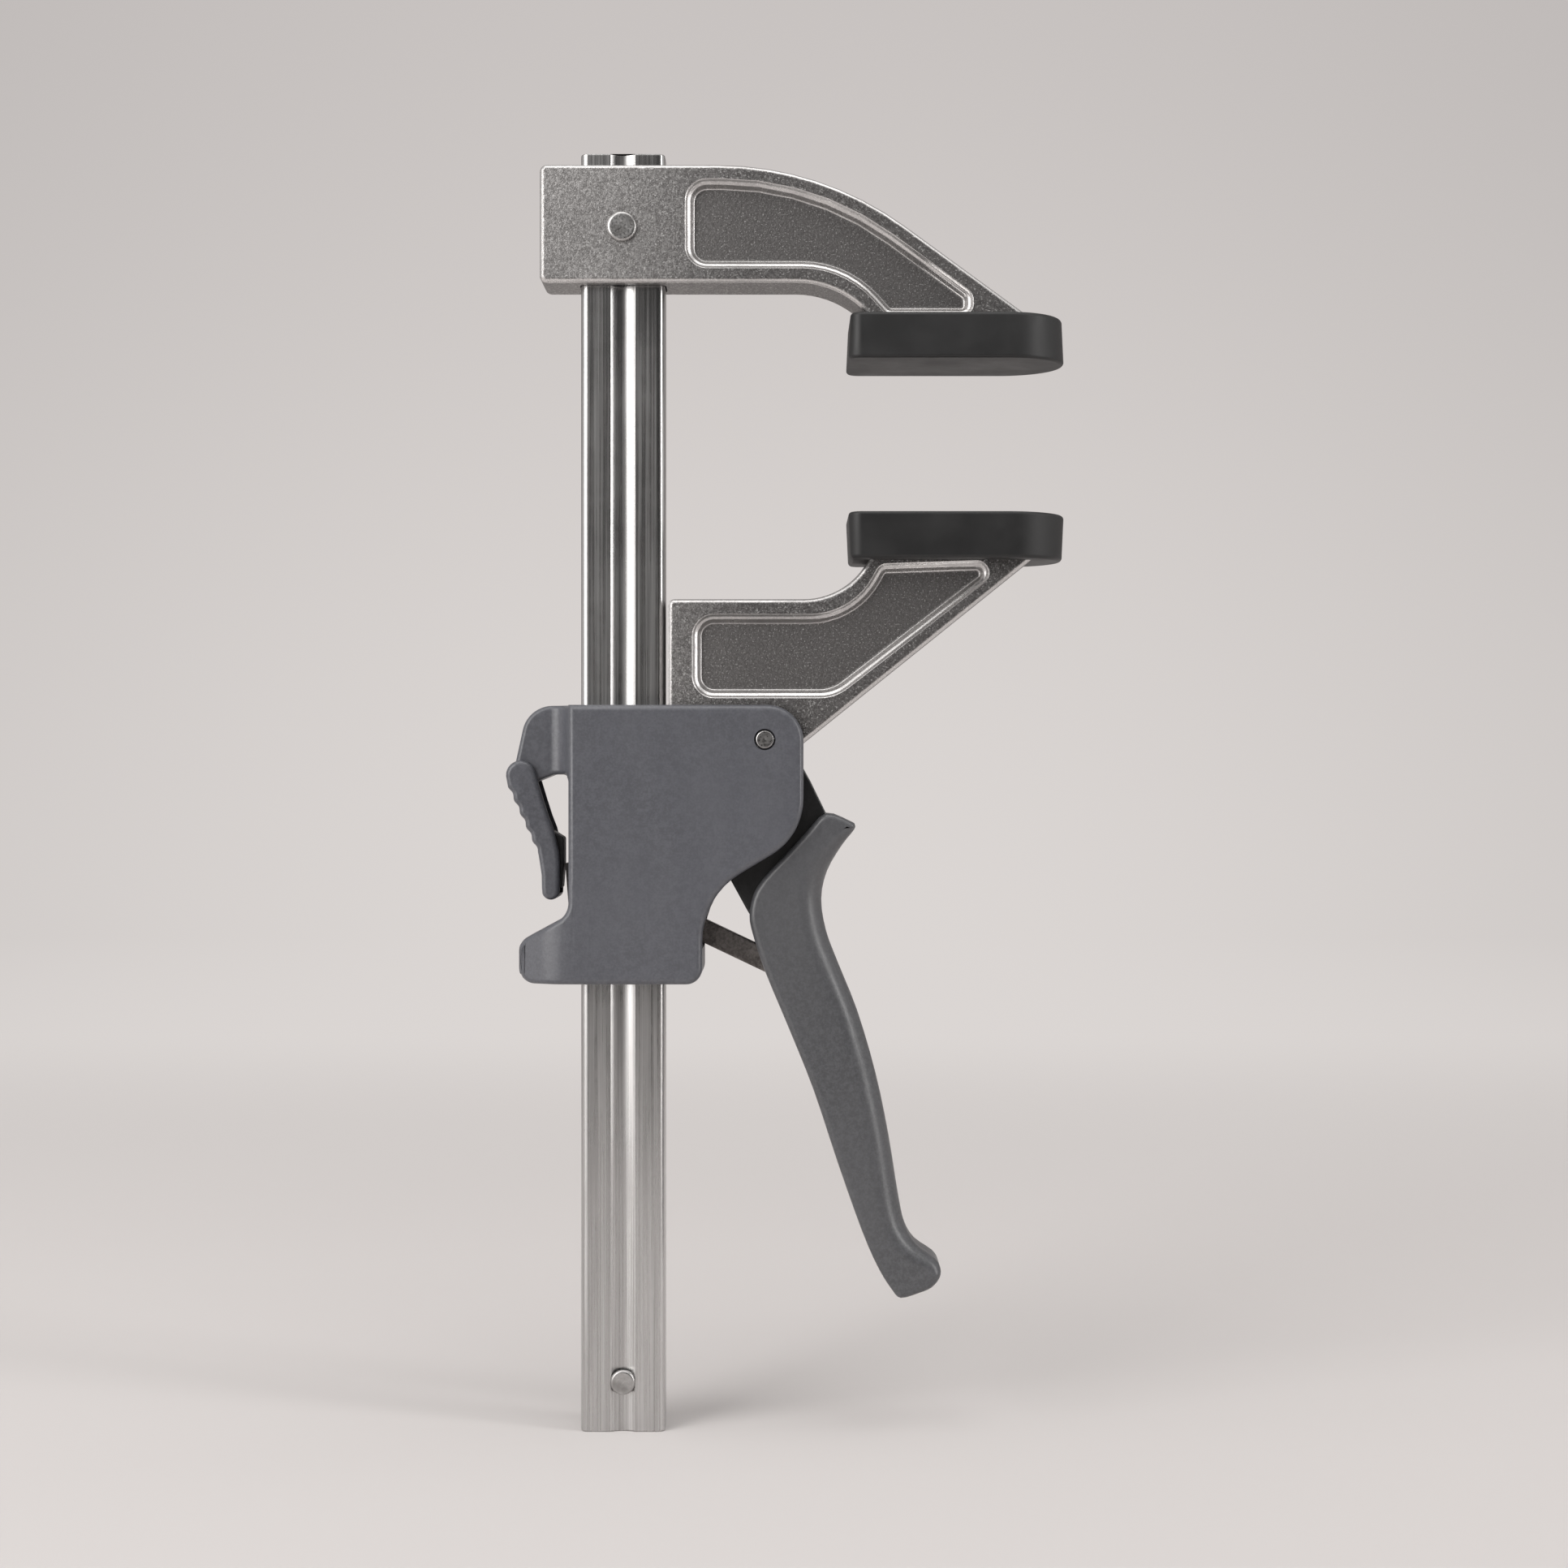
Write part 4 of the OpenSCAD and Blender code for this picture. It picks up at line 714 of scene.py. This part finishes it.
grip_share = [
    (0.4, 1), (0.3, 0.962), (0.207, 0.922), (0.072, 0.865), (0.017, 0.828), (0, 0.788), (0.017, 0.751),
    (0.08, 0.675), (0.207, 0.555), (0.334, 0.43), (0.461, 0.279), (0.588, 0.138), (0.672, 0.063),
    (0.744, 0.0175), (0.79, 0.001), (0.884, 0.011), (0.951, 0.0225), (0.994, 0.0425), (0.998, 0.061),
    (0.968, 0.081), (0.871, 0.109), (0.816, 0.146), (0.782, 0.204), (0.727, 0.338), (0.66, 0.463),
    (0.567, 0.588), (0.465, 0.688), (0.402, 0.755), (0.376, 0.8215), (0.406, 0.88), (0.482, 0.933),
    (0.545, 0.965), (0.55, 0.976), (0.529, 0.983)]


grip_half, edge_roll, palm_roll = 9.2, 1.6, 6.5


def smoothed(points, steps):
    result = []
    for i, b in enumerate(points):
        a, c, d = points[i - 1], points[(i + 1) % len(points)], points[(i + 2) % len(points)]
        for k in range(steps):
            t = k / steps
            result.append(0.5 * (2 * b + (c - a) * t + (2 * a - 5 * b + 4 * c - d) * t * t
                                 + (3 * b - a - 3 * c + d) * t ** 3))
    return result


def grip():
    outline = smoothed(at_share(grip_share), 3)
    radii = []
    for i, p in enumerate(outline):
        d = (outline[(i + 1) % len(outline)] - outline[i - 1]).normalized()
        share = (p.y - grip_z) / length
        full = min(1, max(0, (share - 0.03) / 0.12), max(0, (0.97 - share) / 0.1))
        radii.append(edge_roll + (palm_roll - edge_roll) * full * math.sqrt(max(0, d.y)))
    for _ in range(4):
        radii = [(radii[i - 1] + r + radii[(i + 1) % len(radii)]) / 3 for i, r in enumerate(radii)]
    steps, levels = 9, []
    for side in (-1, 1):
        turns = [math.pi / 2 * k / steps for k in range(steps + 1)][::-side]
        for a in turns:
            levels.append(([side * (grip_half - r * (1 - math.cos(a))) for r in radii],
                           [r * (1 - math.sin(a)) for r in radii]))
    return grow("handle_grip_moulding", outline, levels)


handle = grip()
work(handle, link_mouth())
dressed(handle, grip_nylon, "handle", "grip_plastic", "handle_grip", angle=50)

# Toggle link
# A short cast steel link between the handle and the sliding jaw's tail. Browned, with a coarse
# grain; a plain pin goes through each eye.


def link_look():
    look, wire, at, skin = new_look("browned link steel")
    grain = noise(wire, at, 1500.0, 3.0, 0.65)
    cloud = noise(wire, at, 300.0, 3.0)
    feed(look, skin, {"Base Color": blend(wire, ramp(wire, grain * 0.6 + cloud * 0.4, 0.36, 0.66),
                                          grey(84, (1, 0.9, 0.85)), grey(132, (1, 0.92, 0.88))),
                      "Roughness": ramp(wire, grain, 0.3, 0.7, 0.5, 0.34),
                      "Normal": bumped(wire, grain, 0.6, 0.08 * mm)}, {"Metallic": 0.75})
    return look


link_steel = link_look()
link_in, link_out, link_r = Vector((16.05, 133.3)), Vector((41.85, 121.0)), 2.9
turn = math.atan2(link_out.y - link_in.y, link_out.x - link_in.x)
ends = [link_in + Vector((math.cos(turn + a), math.sin(turn + a))) * link_r
        for a in (math.radians(90 + 12 * k) for k in range(16))]
ends += [link_out + Vector((math.cos(turn + a), math.sin(turn + a))) * link_r
         for a in (math.radians(-90 + 12 * k) for k in range(16))]
link_half = 2.2
link = grow("toggle_link_forging", ends, soft(-link_half, link_half, 0.5, 0.5, 3))
dressed(link, link_steel, "link", "link_steel", "toggle_link")

# Release lever
# A small moulded channel, open towards the rail, that hangs from two studs in the ear and has
# five finger ribs down its back. A black presser inside it meets the locking plate's upright.
hinge, lever_l, lever_r, wall = Vector((stud_x, stud_z)), 34.68, 3.83, 1.6
lever_half, lever_roll, channel_half, open_room = 7.3, 1.25, 5.3, 3.5
right_share = [(0.17, -0.18), (0.21, -0.305), (0.245, -0.395), (0.268, -0.487), (0.289, -0.58),
               (0.295, -0.669)]
ribs, rib_depth_share = 5, 0.014
rib_from, rib_to = Vector((-0.095, -0.09)), Vector((0.135, -0.6))


def lever_outline(step=1):
    points = []
    count = ribs * 8 // step
    out = Vector((rib_from.y - rib_to.y, rib_to.x - rib_from.x)).normalized()
    for k in range(count + 1):
        t = k / count
        wave = (0.5 - 0.5 * math.cos(2 * math.pi * t * ribs)) * rib_depth_share
        points.append(rib_from.lerp(rib_to, t) + out * wave)
    points += [Vector((0.158, -0.75)), Vector((0.16, -0.85))]
    tip = Vector(((0.16 + 0.295) / 2, -0.87))
    points += [tip + Vector((math.cos(math.radians(a)), math.sin(math.radians(a)))) * 0.0675
               for a in range(200, 341, 14)]
    points += [Vector((0.295, -0.8))] + [Vector(p) for p in right_share[::-1]]
    outline = [hinge + p * lever_l for p in points]
    outline += [hinge + Vector((math.cos(math.radians(a)), math.sin(math.radians(a)))) * lever_r
                for a in range(15, 191, 12)]
    return outline


lever_line = lever_outline()
lever = grow("release_lever_moulding", lever_line,
             soft(-lever_half, lever_half, lever_roll, lever_roll, 6))
hollow = moved_in(lever_outline(2), wall)
open_side = [p + Vector((open_room if (hollow[(i + 1) % len(hollow)] - hollow[i - 1]).y > 0 else 0, 0))
             for i, p in enumerate(hollow)]
work(lever, grow("channel", open_side, [(-channel_half, 0), (channel_half, 0)]))
work(lever, block((-28.9, -channel_half, 170.1), (8, channel_half, 180)))
dressed(lever, housing_nylon, "release", "housing_plastic", "release_lever", angle=40)

presser_corners = [(-19.35, 142.22, 0.3), (-16.0, 142.22, 0.4), (-15.52, 148.56, 0),
                   (-15.52, 155.4, 0.8), (-20.7, 158.6, 0.5), (-22.3, 157.1, 0.4), (-19.5, 150.9, 0)]
presser_half = 4.1
presser = grow("release_presser", rounded(presser_corners),
               soft(-presser_half, presser_half, 0.4, 0.4, 3))
dressed(presser, black_nylon, "release", "core_plastic", "release_pusher")

# Inside pieces
# The pieces that stay as they are made: springs, rivets, strap, shoes, locking plate and the
# screws, in plated, blackened or hardened steel and in black nylon.


def plate_look(name, low, high, tint, metallic, rough):
    look, wire, at, skin = new_look(name)
    grain = noise(wire, at, 1200.0, 3.0)
    cloud = noise(wire, at, 120.0, 3.0)
    feed(look, skin, {"Base Color": blend(wire, ramp(wire, grain * 0.5 + cloud * 0.5, 0.36, 0.66),
                                          grey(low, tint), grey(high, tint)),
                      "Roughness": ramp(wire, cloud, 0.3, 0.7, rough - 0.07, rough + 0.07),
                      "Normal": bumped(wire, grain, 0.3, 0.03 * mm)}, {"Metallic": metallic})
    return look


plated = plate_look("plated steel", 150, 190, (1, 0.985, 0.96), 1.0, 0.34)
blackened = plate_look("blackened screw steel", 44, 62, (1, 1, 1.02), 0.8, 0.4)
hardened = plate_look("hardened plate steel", 60, 88, (1, 0.97, 0.95), 0.85, 0.42)
for nodes, look in (
        (("brake_ledge_pin", "brake_spring", "handle_spring", "jaw_guide_strap", "strap_rivets",
          "link_outer_pin", "link_inner_pin"), plated),
        (("shell_screws",), blackened), (("brake_plate",), hardened), (("guide_shoes",), black_nylon)):
    for node in nodes:
        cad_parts[node].data.materials.clear()
        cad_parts[node].data.materials.append(look)
